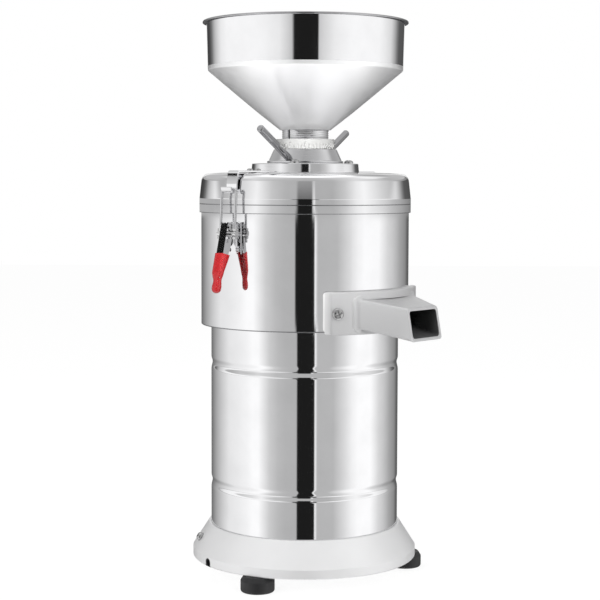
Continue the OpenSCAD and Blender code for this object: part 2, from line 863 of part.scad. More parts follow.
module grinding_bowl() {
    out_r = bowl_r + bowl_t;
    flange_edge = chamber_r - sheet_t - bowl_fit;
    color(cast_grey) difference() {
        union() {
            rotate_extrude() polygon([[0, z_bowl], [out_r, z_bowl],
                [out_r, z_bowl_rim - bowl_flange_t - 8], [flange_edge, z_bowl_rim - bowl_flange_t],
                [flange_edge, z_bowl_rim], [bowl_r, z_bowl_rim],
                [bowl_r, z_floor + 4], [bowl_r - 4, z_floor], [0, z_floor]]);
            toward(spout_azimuth) intersection() {
                bar_box([bowl_r, chamber_r], 2 * port_w + 10, z_bowl, z_floor + port_h + 5);
                ring(chamber_r - sheet_t - 0.1, bowl_r, z_bowl, z_shell_top);
            }
            toward(spout_azimuth) intersection() {
                spout_screw_places() translate([0, 0, -flange_out / 2])
                    cylinder(h = flange_out / 2, r = spout_boss_r);
                ring(chamber_r - sheet_t - 0.1, bowl_r + bowl_t / 2, z_bowl, z_shell_top);
            }
        }
        toward(spout_azimuth) spout_screw_places() translate([0, 0, -spout_screw_len - 1])
            cylinder(h = spout_screw_len, r = spout_screw_r + screw_fit);
        toward(spout_azimuth) port(0);
        disc(seal_r + 0.02, z_bowl - 1, z_floor + 1);
        disc(bowl_r, z_floor + 4, z_floor + port_h);
    }
}

// Lip seal round the shaft in the bowl's floor
module shaft_seal() {
    color(black) rotate_extrude() polygon([[shaft_r + 2, z_bowl + 0.2], [seal_r, z_bowl + 0.2],
        [seal_r, z_floor - 0.2], [shaft_r + run_fit, z_floor - 0.2],
        [shaft_r + run_fit, z_floor - 1.4], [shaft_r + 2, z_floor - 2.6]]);
}

// Curved plate on the shell, cut square at its ends; out and half_w are its outer
// radius and half its width, and bevel is cut from its outer edges
module saddle(in_r, out_r, half_w, low, high, bevel) {
    edge_x = sqrt(out_r * out_r - half_w * half_w);
    intersection() {
        rotate_extrude() polygon([[in_r, low], [out_r - bevel, low], [out_r, low + bevel],
            [out_r, high - bevel], [out_r - bevel, high], [in_r, high]]);
        translate([0, 0, low]) linear_extrude(high - low)
            polygon([[0, -half_w], [edge_x - bevel, -half_w], [edge_x + bevel, bevel - half_w],
                [out_r + 5, bevel - half_w], [out_r + 5, half_w - bevel],
                [edge_x + bevel, half_w - bevel], [edge_x - bevel, half_w], [0, half_w]]);
    }
}

// Places children at both spout screws, with Z outwards and z = 0 on the flange
module spout_screw_places() {
    for (side = [-1, 1]) rotate([0, 0, side * asin(spout_screw_side / flange_out)])
        translate([flange_out, 0, z_spout_screw]) rotate([0, 90, 0]) children();
}

// The spout's outer form, drawn in by inset for its passage
module spout_form(inset) {
    far = spout_reach + 40;
    near = root_x - 12;
    top_slope = spout_drop / (spout_reach - root_x);
    low_slope = (z_root - z_mouth) / (spout_reach + spout_lip - root_x);
    wide = spout_root_w - inset;
    narrow = spout_mouth_w - inset;
    intersection() {
        translate([0, 0, z_mouth - 40]) linear_extrude(140)
            polygon([[near, -wide], [near, wide], [root_x, wide], [spout_reach, narrow],
                [far, narrow], [far, -narrow], [spout_reach, -narrow], [root_x, -wide]]);
        slab(4 * spout_root_w)
            polygon([[near, z_root + inset], [root_x, z_root + inset],
                [far, z_root + inset - low_slope * (far - root_x)],
                [far, z_root_top - inset - top_slope * (far - root_x)],
                [root_x, z_root_top - inset], [near, z_root_top - inset]]);
    }
}

module spout() {
    cut = spout_lip / mouth_h;
    color(cast_white) toward(spout_azimuth) difference() {
        union() {
            saddle(shell_out, flange_out, spout_flange_w, z_spout_flange,
                z_spout_flange + spout_flange_h, spout_bevel);
            difference() {
                spout_form(0);
                disc(shell_out + 1, z_shell - 60, z_shell_top);
                slab(4 * spout_root_w)
                    polygon([[spout_reach - 60 * cut, z_mouth_top + 60],
                        [spout_reach + (mouth_h + 40) * cut, z_mouth - 40],
                        [spout_reach + 90, z_mouth - 40], [spout_reach + 90, z_mouth_top + 60]]);
            }
        }
        difference() {
            spout_form(spout_t);
            disc(shell_out - 12, z_shell - 60, z_shell_top);
        }
        spout_screw_places() cylinder(h = 30, r = spout_screw_r + 0.3, center = true);
    }
}

module spout_gasket() {
    color("white") toward(spout_azimuth) difference() {
        saddle(chamber_r + 0.05, shell_out, spout_flange_w - 0.5, z_spout_flange + 2.6,
            z_spout_flange + spout_flange_h - 0.4, 0.2);
        port(0.4);
        spout_screw_places() cylinder(h = 40, r = spout_screw_r + 0.4, center = true);
    }
}

// Screws of the spout, which go through the shell into bosses of the bowl
module spout_screws() {
    color(steel) toward(spout_azimuth) spout_screw_places()
        translate([0, 0, 0.4]) pan_screw(4.5, 3.4, spout_screw_r, spout_screw_len);
}

// Lid: the outline of its outer face from the skirt's edge to the hole in its top
shoulder_z = z_lid - lid_crown;
lid_side = [[lid_r, z_lid_skirt], [lid_r, z_shell_top + 0.5], [lid_r - 0.3, z_shell_top + 0.9],
    [lid_r, z_shell_top + 1.3], [lid_r, z_lid_skirt + lid_wall_h],
    [lid_r - lid_taper * 0.36, z_lid_skirt + lid_wall_h + 7],
    [lid_r - lid_taper * 0.8, shoulder_z - 9], [lid_r - lid_taper, shoulder_z - 6.2],
    [lid_r - lid_taper - 1.8, shoulder_z - 2.8], [lid_r - lid_taper - 4.4, shoulder_z],
    [crown_r, z_lid - 0.7], [crown_r - 14, z_lid], [lid_hole_r, z_lid]];

module lid_cover() {
    skirt = [[lid_r - lid_t, z_lid_skirt], [lid_r - lid_t, z_lid_skirt + lid_wall_h]];
    inside = [for (i = [5 : len(lid_side) - 1])
        [lid_side[i][0] - (i < len(lid_side) - 1 ? lid_t : 0), lid_side[i][1] - lid_t]];
    path = concat(skirt, inside);
    back = [for (i = [len(path) - 1 : -1 : 0]) path[i]];
    color(polished) difference() {
        rotate_extrude() polygon(concat(lid_side, back));
        around(3, flange_screw_azimuth) translate([flange_screw_circle, 0, 0])
            disc(flange_screw_r + 0.3, z_lid - 10, z_lid + 10);
        latch_places() hook_screw_places() cylinder(h = 20, r = 1.8, center = true);
    }
}

// Cast plate under the lid: it presses the seal and carries the flange
module lid_plate() {
    z_web = z_lid_plate + 3;
    color(cast_grey) difference() {
        rotate_extrude() polygon([[lid_hole_r, z_web], [bowl_r + 2.6 * seal_band, z_web],
            [bowl_r + 2.6 * seal_band, z_lid_plate], [lid_plate_r, z_lid_plate],
            [lid_plate_r, z_lid_plate + 6], [bowl_r + 3.4 * seal_band, z_web + lid_web_t],
            [lid_boss_r + 3, z_web + lid_web_t], [lid_boss_r, z_web + lid_web_t + 4],
            [lid_boss_r, z_lid - lid_t], [lid_hole_r, z_lid - lid_t]]);
        around(3, flange_screw_azimuth) translate([flange_screw_circle, 0, 0])
            disc(flange_screw_r + screw_fit, z_web - 5, z_lid);
    }
}

module lid_seal() {
    color("white") ring(lid_plate_r - seal_band, bowl_r + 3 * seal_band, z_bowl_rim, z_lid_plate);
}

// Flange on the lid; its hub holds the adjusting nut and guides the stone's tube
module top_flange() {
    z_hub = z_lid - hub_len;
    color(polished) difference() {
        rotate_extrude() polygon([[0, z_hub], [hub_r - 1, z_hub], [hub_r, z_hub + 1],
            [hub_r, z_lid], [flange_r, z_lid], [flange_r, z_flange - 0.6],
            [flange_r - 0.6, z_flange], [0, z_flange]]);
        disc(tube_r + run_fit, z_hub - 1, z_flange + 1);
        disc(sleeve_r + run_fit, z_flange - sleeve_len - 1, z_flange + 1);
        around(3, flange_screw_azimuth) translate([flange_screw_circle, 0, 0])
            disc(flange_screw_r + 0.3, z_lid - 1, z_flange + 1);
        stop_places() cylinder(h = 30, r = 3 + screw_fit, center = true);
        toward(guide_azimuth)
            bar_box([tube_r - 4, tube_r + 3.2], guide_w, z_guide, z_guide + guide_h);
    }
}

module flange_screws() {
    color(steel) around(3, flange_screw_azimuth)
        translate([flange_screw_circle, 0, z_flange])
        pan_screw(5, 4, flange_screw_r, flange_h + flange_screw_len);
}

// Places children at the screws that hold the adjusting nut, with Z outwards
module stop_places() {
    around(3, 47) translate([hub_r - 5, 0, z_stop_groove]) rotate([0, 90, 0]) children();
}

module nut_stop_screws() {
    tip = hub_r - 5 - sleeve_r;
    color(steel) stop_places() {
        translate([0, 0, -tip + 0.4]) cylinder(h = tip + 4, r = 3);
        translate([0, 0, -tip - groove_in + 0.3]) cylinder(h = tip, r = stop_r);
    }
}

module guide_key() {
    color(steel) toward(guide_azimuth)
        bar_box([tube_r - guide_depth + 0.3, tube_r + 3.1], guide_w - 0.1,
            z_guide + 0.05, z_guide + guide_h - 0.05);
}

// Latches: each is drawn in the plane through the axis and placed by its azimuth
module latch_places() {
    toward(latch_azimuth) children();
    toward(latch_azimuth + rear_turn) children();
}

module hook_screw_places() {
    for (r = [hook_leg_r + 10, hook_leg_r + 22]) translate([r, 0, z_lid + hook_t]) children();
}

// Hook strip, flat over the lid and bent down past its shoulder; its end is rolled up
// into an open hook
module hook_profile() {
    bend_out = 4;
    bend_in = bend_out - hook_t;
    bend = [strip_out - bend_out, z_lid + hook_t - bend_out];
    out = [[hook_leg_r, z_lid + hook_t], bend + [0, bend_out],
        bend + bend_out * [sin(30), cos(30)], bend + bend_out * [sin(60), cos(60)],
        bend + [bend_out, 0], [strip_out, hook_centre[1]]];
    back = [[strip_in, hook_centre[1]], bend + [bend_in, 0],
        bend + bend_in * [sin(45), cos(45)], bend + [0, bend_in - 0.02],
        [hook_leg_r, z_lid + 0.02]];
    polygon(concat(out, back));
    translate(hook_centre) difference() {
        circle(r = hook_r + hook_t);
        circle(r = hook_r);
        translate([-20, 0]) square([40, 20]);
    }
}

module latch_hooks() {
    color(steel) latch_places() difference() {
        slab(hook_w) hook_profile();
        hook_screw_places() cylinder(h = 20, r = 1.8, center = true);
    }
}

module hook_screws() {
    color(steel) latch_places() hook_screw_places() pan_screw(3.2, 2.2, 1.75, 7);
}

// Places children at a base plate's three rivets, with Z outwards on the plate
module rivet_places() {
    for (place = [[-1, 4], [1, 4], [0, latch_plate_h - 9]])
        rotate([0, 0, asin(place[0] * rivet_side / latch_wall_r)])
        translate([latch_wall_r + 0.05, 0, z_latch_plate + place[1]])
        rotate([0, 90, 0]) children();
}

// Base plate with the two ears that hold the lever's pin
module latch_base() {
    lobe = 3.4;
    z_low = z_latch_plate + 8;
    neck = trunnion[0] - trunnion_r - 1;
    difference() {
        union() {
            intersection() {
                ring(latch_wall_r, chamber_r + 0.05, z_latch_plate, z_latch_plate + latch_plate_h);
                bar_box([0, latch_wall_r + 5], latch_plate_w, z_latch_plate,
                    z_latch_plate + latch_plate_h);
            }
            for (side = [-1, 1]) translate([0, side * (ear_in + ear_out) / 2, 0])
                slab(lever_t) {
                    polygon([[latch_wall_r - 0.5, z_low], [neck - 2, z_low], [neck, z_low + 2],
                        [neck, pivot[1] - lobe], [pivot[0], pivot[1] - lobe],
                        [pivot[0], pivot[1] + lobe], [latch_wall_r - 0.5, pivot[1] + lobe]]);
                    translate(pivot) circle(r = lobe);
                }
        }
        rivet_places() cylinder(h = 20, r = 1.65, center = true);
        cross_bar(pivot, pin_r + screw_fit, 60);
    }
}

module latch_bases() {
    color(steel) latch_places() latch_base();
}

module latch_rivets() {
    color(steel) latch_places() rivet_places() {
        pan_screw(2.6, 1.1, 1.6, latch_plate_t + sheet_t + 0.1);
        translate([0, 0, -latch_plate_t - sheet_t - 1]) cylinder(h = 0.9, r = 2.6);
    }
}

module latch_pins() {
    color(steel) latch_places() {
        cross_bar(pivot, pin_r, 2 * ear_out + 0.4);
        for (side = [-1, 1]) translate([pivot[0], side * (ear_out + 0.3), pivot[1]])
            rotate([90, 0, 0]) cylinder(h = 0.5, r = pin_r + 1, center = true);
    }
}

// Places children in the closed lever's own frame: X square to it, Y up along it
module lever_frame() {
    translate(pivot) rotate(lever_lean) children();
}

// One side wall of the lever's channel
module lever_wall() {
    lever_frame() polygon([[0, 4.6], [lever_front, 4], [lever_front, -lever_end],
        [lever_front - 2.4, -lever_end], [lever_front - 2.6, 6 - lever_end],
        [lever_front - lever_depth, -taper_start], [lever_front - lever_depth, -6],
        [-4.6, -2], [-4.2, 2.2]]);
    translate(trunnion) circle(r = 5);
    translate(pivot) circle(r = 4.6);
}

module lever_shape() {
    difference() {
        union() {
            for (side = [-1, 1]) translate([0, side * (lever_w - lever_t / 2), 0])
                slab(lever_t) lever_wall();
            slab(2 * lever_w) lever_frame()
                translate([lever_front - lever_t, -lever_end]) square([lever_t, lever_end + 3]);
        }
        cross_bar(pivot, pin_r + run_fit, 60);
        cross_bar(trunnion, trunnion_r + run_fit, 60);
    }
}

module front_lever() {
    color(steel) toward(latch_azimuth) lever_shape();
}

module rear_lever() {
    color(steel) toward(latch_azimuth + rear_turn) lever_shape();
}

// Moves solids into the closed lever's frame: X square to it, Z up along it
module lever_space() {
    translate([pivot[0], 0, pivot[1]]) rotate([0, -lever_lean, 0]) children();
}

// Block that holds the grip's width, which draws in towards the bulb
module grip_width() {
    wide = lever_w + grip_t;
    neck = bulb_r + 0.3;
    lever_space() rotate([90, 0, 90]) linear_extrude(80, center = true)
        polygon([[-wide, 0], [-wide, 4 - lever_end], [-neck, -lever_end - 4],
            [-neck, -lever_len - 1], [neck, -lever_len - 1], [neck, -lever_end - 4],
            [wide, 4 - lever_end], [wide, 0]]);
}

// Vinyl grip: a skin over the end of the channel that runs out into a round bulb
module grip_shape() {
    front = lever_front + grip_t;
    back = lever_front - lever_depth * 0.86 - grip_t;
    bulb_x = lever_front - 3.6;
    z_bulb = bulb_r - lever_len;
    inner = lever_front - lever_t - grip_t;
    difference() {
        intersection() {
            grip_width();
            union() {
                slab(2 * lever_w + 8) lever_frame() polygon([[front, -grip_start],
                    [front, -lever_end], [front - 4, -lever_end - 3],
                    [front - 6.5, 2 - lever_end], [back + 3.4, -grip_start - 16],
                    [back, -grip_start]]);
                lever_space() translate([bulb_x, 0, 0]) rotate_extrude()
                    polygon([[0, 12 - lever_end], [bulb_r * 0.8, 10 - lever_end],
                        [bulb_r * 0.88, -lever_end], [bulb_r, z_bulb + 4], [bulb_r, z_bulb],
                        [bulb_r * 0.87, z_bulb - bulb_r * 0.5],
                        [bulb_r * 0.5, z_bulb - bulb_r * 0.87], [0, z_bulb - bulb_r]]);
            }
        }
        for (side = [-1, 1]) translate([0, side * (lever_w - lever_t / 2), 0])
            slab(lever_t + 0.02) lever_wall();
        slab(2 * lever_w + 0.02) lever_frame()
            translate([lever_front - lever_t - 0.01, -lever_end]) square([lever_t + 0.02, 60]);
        slab(2 * (lever_w - lever_t - grip_t)) lever_frame() polygon([[inner, 10 - lever_end],
            [inner, 0], [-20, 0], [-20, 10 - lever_end]]);
    }
}

module front_grip() {
    color("red") toward(latch_azimuth) grip_shape();
}

module rear_grip() {
    color("red") toward(latch_azimuth + rear_turn) grip_shape();
}

// Places children in the bail's frame: origin on the trunnion, Z along the legs
module bail_frame() {
    translate([trunnion[0], 0, trunnion[1]]) rotate([0, -bail_tilt, 0]) children();
}

// Bent wire: two legs, a bar and the two bends between them
module bail_shape() {
    foot = 9.5;
    bail_frame() {
        for (side = [-1, 1]) {
            translate([0, side * bail_w, -foot])
                cylinder(h = foot + bail_len - bail_bend, r = wire_r);
            translate([0, side * (bail_w - bail_bend), bail_len - bail_bend])
                rotate([90, 0, 90]) mirror([side < 0 ? 1 : 0, 0, 0])
                rotate_extrude(angle = 90) translate([bail_bend, 0]) circle(r = wire_r);
        }
        translate([0, 0, bail_len]) rotate([90, 0, 0])
            cylinder(h = 2 * (bail_w - bail_bend), r = wire_r, center = true);
    }
}

module front_bail() {
    color(polished) toward(latch_azimuth) bail_shape();
}

module rear_bail() {
    color(polished) toward(latch_azimuth + rear_turn) bail_shape();
}

// Cross bar that the bail's legs pass through, with a nut above and below it on each leg
module trunnion_shape() {
    nut_r = 3;
    bail_frame() difference() {
        union() {
            rotate([90, 0, 0]) cylinder(h = 2 * bail_w + 6, r = trunnion_r, center = true);
            for (side = [-1, 1], z = [-5.4, 3.1]) translate([0, side * bail_w, z])
                cylinder(h = 2.3, r = nut_r, $fn = 6);
        }
        for (side = [-1, 1]) translate([0, side * bail_w, -20])
            cylinder(h = 40, r = wire_r + screw_fit);
    }
}

module front_trunnion() {
    color(steel) toward(latch_azimuth) trunnion_shape();
}

module rear_trunnion() {
    color(steel) toward(latch_azimuth + rear_turn) trunnion_shape();
}

// Motor shaft, stepped for its bearings, its core, the stone holder and the feed screw
module motor_shaft() {
    z_rotor_seat = z_bearing_low + bearing_low[2] + 0.1;
    color(steel) difference() {
        union() {
            disc(8, z_fan - 4, z_bearing_low);
            disc(bearing_low[0] - 0.01, z_bearing_low, z_rotor_seat);
            disc(12, z_rotor_seat, z_bearing_high - 0.1);
            disc(shaft_r - 0.01, z_bearing_high - 0.1, z_lower_stone);
            disc(stud_r, z_lower_stone, z_stone_face + feed_h - 8);
        }
        toward(0) bar_box([shaft_r - 3.5, shaft_r + 2], key_w, z_floor + 8, z_lower_stone - 8);
    }
}

module rotor_core() {
    end_h = 8;
    color(steel) {
        ring(rotor_r, 12.02, z_stack, z_stack_top);
        ring(rotor_r - 3, 26, z_stack_top, z_stack_top + end_h);
        ring(rotor_r - 3, 26, z_stack - end_h, z_stack);
    }
}

module cooling_fan() {
    color(black) difference() {
        union() {
            disc(fan_hub_r, z_fan, z_fan + fan_h);
            disc(fan_r, z_fan + fan_h - 2, z_fan + fan_h);
            around(fan_blades) bar_box([fan_hub_r - 1, fan_r], 2, z_fan + 2, z_fan + fan_h - 1);
        }
        disc(8.02, z_fan - 1, z_fan + fan_h + 1);
    }
}

// Holder of the lower stone, with blades that sweep the bowl's floor
module stone_holder() {
    low = z_floor + sweep_gap;
    color(cast_grey) difference() {
        union() {
            disc(holder_hub_r, low, z_lower_stone - holder_disc_t);
            disc(stone_r, z_lower_stone - holder_disc_t, z_lower_stone);
            around(blade_count, 30) {
                bar_box([holder_hub_r - 2, bowl_r - 8], blade_t, low, low + blade_h);
                bar_box([holder_hub_r - 2, bowl_r - 1.5], blade_t, low + 4, low + blade_h);
                slab(blade_t) polygon([[holder_hub_r - 2, low + blade_h - 1],
                    [holder_hub_r + 22, low + blade_h - 1],
                    [holder_hub_r - 2, z_lower_stone - holder_disc_t]]);
            }
        }
        disc(shaft_r + 0.01, low - 1, z_lower_stone + 1);
        toward(0) bar_box([0, shaft_r + 2.9], key_w + 0.04, low - 1, z_lower_stone + 1);
    }
}

module drive_key() {
    color(steel) toward(0)
        bar_box([shaft_r - 3.4, shaft_r + 2.8], key_w - 0.04, z_floor + 8.1, z_lower_stone - 8.1);
}

// Furrows of a stone's working face, slanting from the eye to the rim
module furrow_set(z) {
    for (i = [0 : furrows - 1]) rotate([0, 0, i * 360 / furrows]) {
        translate([eye_r + 4, furrow_offset, z])
            rotate([0, 0, -14]) translate([0, -furrow_w / 2, -furrow_depth])
            cube([stone_r, furrow_w, 2 * furrow_depth]);
        translate([stone_r * 0.62, furrow_offset + 16, z])
            rotate([0, 0, -14]) translate([0, -furrow_w / 2, -furrow_depth])
            cube([stone_r, furrow_w, 2 * furrow_depth]);
    }
}

module lower_stone() {
    color("lightslategray") difference() {
        rotate_extrude() polygon([[stud_r + 1, z_lower_stone], [stone_r, z_lower_stone],
            [stone_r, z_stone_face], [eye_r + 18, z_stone_face], [eye_r - 4, z_stone_face - 5],
            [stud_r + 1, z_stone_face - 5]]);
        furrow_set(z_stone_face);
    }
}

module upper_stone() {
    color("lightslategray") difference() {
        rotate_extrude() polygon([[eye_r + 18, z_upper_stone], [stone_r, z_upper_stone],
            [stone_r, z_carrier], [eye_r, z_carrier], [eye_r, z_upper_stone + 8]]);
        furrow_set(z_upper_stone);
    }
}

// Feed screw on the shaft's end: it clamps the lower stone and draws the nuts down
module feed_screw() {
    low = z_stone_face - 5;
    color(steel) {
        difference() {
            union() {
                disc(feed_hub_r + 2, low, low + 5);
                disc(feed_hub_r, low, low + feed_h);
            }
            disc(stud_r + screw_fit, low - 1, z_stone_face + feed_h - 7.9);
        }
        translate([0, 0, low + 5]) linear_extrude(feed_h - 5, twist = -150, slices = 15, $fn = 24)
            for (turn = [0, 180]) rotate(turn)
                translate([feed_hub_r - 1, -1.6]) square([4.5, 3.2]);
    }
}

// Adjusting nut: a sleeve that turns in the flange, a cone and a collar for the scale
module adjusting_nut() {
    z_sleeve = z_flange - sleeve_len;
    color(polished) difference() {
        rotate_extrude() polygon([[tube_r + run_fit, z_sleeve], [sleeve_r, z_sleeve],
            [sleeve_r, z_nut], [nut_lip_r, z_nut], [nut_lip_r, z_nut + nut_lip_h],
            [nut_foot_r, z_nut + nut_lip_h], [nut_top_r, z_ring], [ring_bore, z_ring],
            [ring_bore, z_nut_top], [tube_r + run_fit, z_nut_top]]);
        ring(sleeve_r + 1, sleeve_r - groove_in, z_stop_groove - stop_r - 0.2,
            z_stop_groove + stop_r + 0.2);
        handle_places() translate([0, 0, -1]) cylinder(h = 40, r = handle_r + screw_fit);
    }
}

// Ring with the scale, pressed on the nut's collar
module scale_ring() {
    color("ivory") rotate_extrude() polygon([[ring_bore + ring_fit, z_ring],
        [ring_r, z_ring], [ring_r, z_nut_top - 0.5], [ring_r - 0.5, z_nut_top],
        [ring_bore + ring_fit, z_nut_top]]);
}

// Places children at the roots of both handles, with Z along the rod
module handle_places() {
    around(2, handle_azimuth) translate([handle_root, 0, handle_root_z])
        rotate([0, 90 - handle_rise, 0]) children();
}

module adjuster_handles() {
    reach = (handle_reach - handle_root) / cos(handle_rise) - 4;
    color(polished) handle_places() rotate_extrude()
        polygon([[0, 0], [handle_r, 0], [handle_r, reach - handle_r * 0.7],
            [handle_r * 0.87, reach - handle_r * 0.3], [handle_r * 0.5, reach - 0.1], [0, reach]]);
}

// Carrier of the upper stone: a plate on a threaded tube with a keyway
module stone_carrier() {
    color(polished) difference() {
        rotate_extrude() polygon([[eye_r + 0.5, z_carrier], [carrier_r, z_carrier],
            [carrier_r, z_carrier + carrier_plate_t], [tube_r + 8, z_carrier + carrier_plate_t],
            [tube_r, z_carrier + carrier_plate_t + 8], [tube_r, z_neck - 0.6],
            [tube_r - 0.6, z_neck], [tube_bore_r, z_neck], [tube_bore_r, z_carrier]]);
        toward(guide_azimuth) bar_box([tube_r - guide_depth, tube_r + 4], guide_w + 0.1,
            z_carrier + carrier_plate_t + 8, z_neck + 1);
    }
}

// Lower part of the hopper: spigot, cone and the turned edge that the drum is welded to
module hopper_cone() {
    foot_t = 2;
    side_out = [[hopper_foot_r, z_neck], [hopper_foot_r + 0.8, z_neck + 0.8],
        [drum_r - drum_turn * 0.7, z_drum - drum_turn * 0.45], [drum_r - 0.7, z_drum + 1.4],
        [drum_r, z_drum + drum_turn]];
    side_in = [[drum_r - hopper_t, z_drum + drum_turn], [drum_r - 0.7 - hopper_t, z_drum + 1.8],
        [drum_r - drum_turn * 0.7 - hopper_t, z_drum - drum_turn * 0.45 + 1],
        [hopper_foot_r - hopper_t, z_neck + foot_t], [throat_r, z_neck + foot_t]];
    color(polished) rotate_extrude() polygon(concat([[throat_r, z_neck - spigot_h],
        [spigot_r - 0.6, z_neck - spigot_h], [spigot_r, z_neck - spigot_h + 0.6],
        [spigot_r, z_neck]], side_out, side_in));
}

// Drum of the hopper with the rolled bead at its rim
module hopper_drum() {
    rim_low = z_top - 2 * bead_r;
    drum_top_r = drum_r + drum_flare;
    color(polished) rotate_extrude() {
        polygon([[drum_r, z_drum + drum_turn], [drum_top_r, rim_low + bead_r],
            [drum_top_r - hopper_t, rim_low + bead_r], [drum_r - hopper_t, z_drum + drum_turn]]);
        translate([bead_circle_r, z_top - bead_r]) circle(r = bead_r);
    }
}

placed() base_casting();
placed() rubber_feet();
placed() foot_screws();
placed() ground_screw();
placed() cord_grommet();
placed() bottom_plate();
placed() run_capacitor();
placed() switch_frame();
placed() breaker_body();
placed() motor_barrel();
placed() lower_end_shield();
placed() upper_end_shield();
placed() tie_bolts();
placed() stator_core();
placed() stator_windings();
placed() bearing_outer_rings();
placed() chamber_shell();
placed() grinding_bowl();
placed() shaft_seal();
placed() spout();
placed() spout_gasket();
placed() spout_screws();
placed() lid_cover();
placed() lid_plate();
placed() lid_seal();
placed() top_flange();
placed() flange_screws();
placed() nut_stop_screws();
placed() guide_key();
placed() latch_hooks();
placed() hook_screws();
placed() latch_bases();
placed() latch_rivets();
placed() latch_pins();
placed() motor_shaft();
placed() rotor_core();
placed() cooling_fan();
placed() bearing_inner_rings();
placed() bearing_balls();
placed() stone_holder();
placed() lower_stone();
placed() feed_screw();
placed() drive_key();
placed() adjusting_nut();
placed() scale_ring();
placed() adjuster_handles();
placed() stone_carrier();
placed() upper_stone();
placed() hopper_cone();
placed() hopper_drum();
placed() front_lever();
placed() front_grip();
placed() front_bail();
placed() front_trunnion();
placed() rear_lever();
placed() rear_grip();
placed() rear_bail();
placed() rear_trunnion();
placed() switch_rocker();
placed() reset_button();
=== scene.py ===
import json
from math import acos, asin, atan2, copysign, cos, degrees, hypot, pi, radians, sin, sqrt, tan

import bmesh
import bpy
from mathutils import Matrix, Vector


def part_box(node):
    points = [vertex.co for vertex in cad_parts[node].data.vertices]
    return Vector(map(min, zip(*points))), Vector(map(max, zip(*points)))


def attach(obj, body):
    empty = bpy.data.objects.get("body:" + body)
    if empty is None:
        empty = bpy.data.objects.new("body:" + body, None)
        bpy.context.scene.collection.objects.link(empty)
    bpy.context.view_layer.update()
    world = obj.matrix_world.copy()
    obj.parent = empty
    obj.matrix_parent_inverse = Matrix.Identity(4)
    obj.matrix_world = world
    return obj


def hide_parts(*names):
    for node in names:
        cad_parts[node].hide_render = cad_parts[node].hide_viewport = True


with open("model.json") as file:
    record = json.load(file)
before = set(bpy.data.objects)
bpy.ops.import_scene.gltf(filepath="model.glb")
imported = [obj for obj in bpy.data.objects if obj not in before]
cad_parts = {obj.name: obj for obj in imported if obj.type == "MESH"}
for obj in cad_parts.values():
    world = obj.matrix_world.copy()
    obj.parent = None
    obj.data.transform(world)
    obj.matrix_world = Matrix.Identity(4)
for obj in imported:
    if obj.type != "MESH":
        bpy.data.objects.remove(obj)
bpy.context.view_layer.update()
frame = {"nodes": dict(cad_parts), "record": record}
MM = 0.001
barrel_low, barrel_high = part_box("motor_barrel")
# The machine's axis, in mm. All shapes below are drawn round it.
AXIS = Vector(((barrel_low.x + barrel_high.x) / 2 / MM, (barrel_low.y + barrel_high.y) / 2 / MM, 0))


# Materials

def new_material(name):
    mat = bpy.data.materials.new(name)
    mat.use_nodes = True
    tree = mat.node_tree
    return mat, tree, tree.nodes["Principled BSDF"]


def noise(tree, scale, detail, stretch=(1, 1, 1), rough=0.5):
    where = tree.nodes.new("ShaderNodeTexCoord")
    mapping = tree.nodes.new("ShaderNodeMapping")
    mapping.inputs["Scale"].default_value = stretch
    tree.links.new(where.outputs["Object"], mapping.inputs["Vector"])
    tex = tree.nodes.new("ShaderNodeTexNoise")
    tex.inputs["Scale"].default_value = scale
    tex.inputs["Detail"].default_value = detail
    tex.inputs["Roughness"].default_value = rough
    tree.links.new(mapping.outputs["Vector"], tex.inputs["Vector"])
    return tex.outputs["Fac"]


def ramp(tree, fac, stops):
    """A colour ramp; each stop is (place, grey) or (place, colour)."""
    node = tree.nodes.new("ShaderNodeValToRGB")
    bar = node.color_ramp
    bar.elements.remove(bar.elements[1])
    for i, (pos, col) in enumerate(stops):
        col = (col,) * 3 if isinstance(col, (int, float)) else col
        item = bar.elements[0] if i == 0 else bar.elements.new(pos)
        item.position = pos
        item.color = (*col, 1)
    tree.links.new(fac, node.inputs["Fac"])
    return node.outputs["Color"]


def mixed(tree, factor, a, b):
    """Colour a where factor is 0 and b where it is 1; b may be a number, for a grey."""
    node = tree.nodes.new("ShaderNodeMix")
    node.data_type = "RGBA"
    tree.links.new(factor, node.inputs["Factor"])
    tree.links.new(a, node.inputs["A"])
    if isinstance(b, float):
        node.inputs["B"].default_value = (b, b, b, 1)
    else:
        tree.links.new(b, node.inputs["B"])
    return node.outputs["Result"]


def bump(tree, shader, height, strength, distance, before=None):
    node = tree.nodes.new("ShaderNodeBump")
    node.inputs["Strength"].default_value = strength
    node.inputs["Distance"].default_value = distance
    tree.links.new(height, node.inputs["Height"])
    if before is not None:
        tree.links.new(before, node.inputs["Normal"])
    tree.links.new(node.outputs["Normal"], shader.inputs["Normal"])
    return node.outputs["Normal"]


def mottled(tree, scale, detail, colour, spread):
    """A colour with slow changes of tone."""
    dark, light = (tuple(min(1.0, c * k) for c in colour) for k in (1 - spread, 1 + spread))
    return ramp(tree, noise(tree, scale, detail), [(0.3, dark), (0.7, light)])


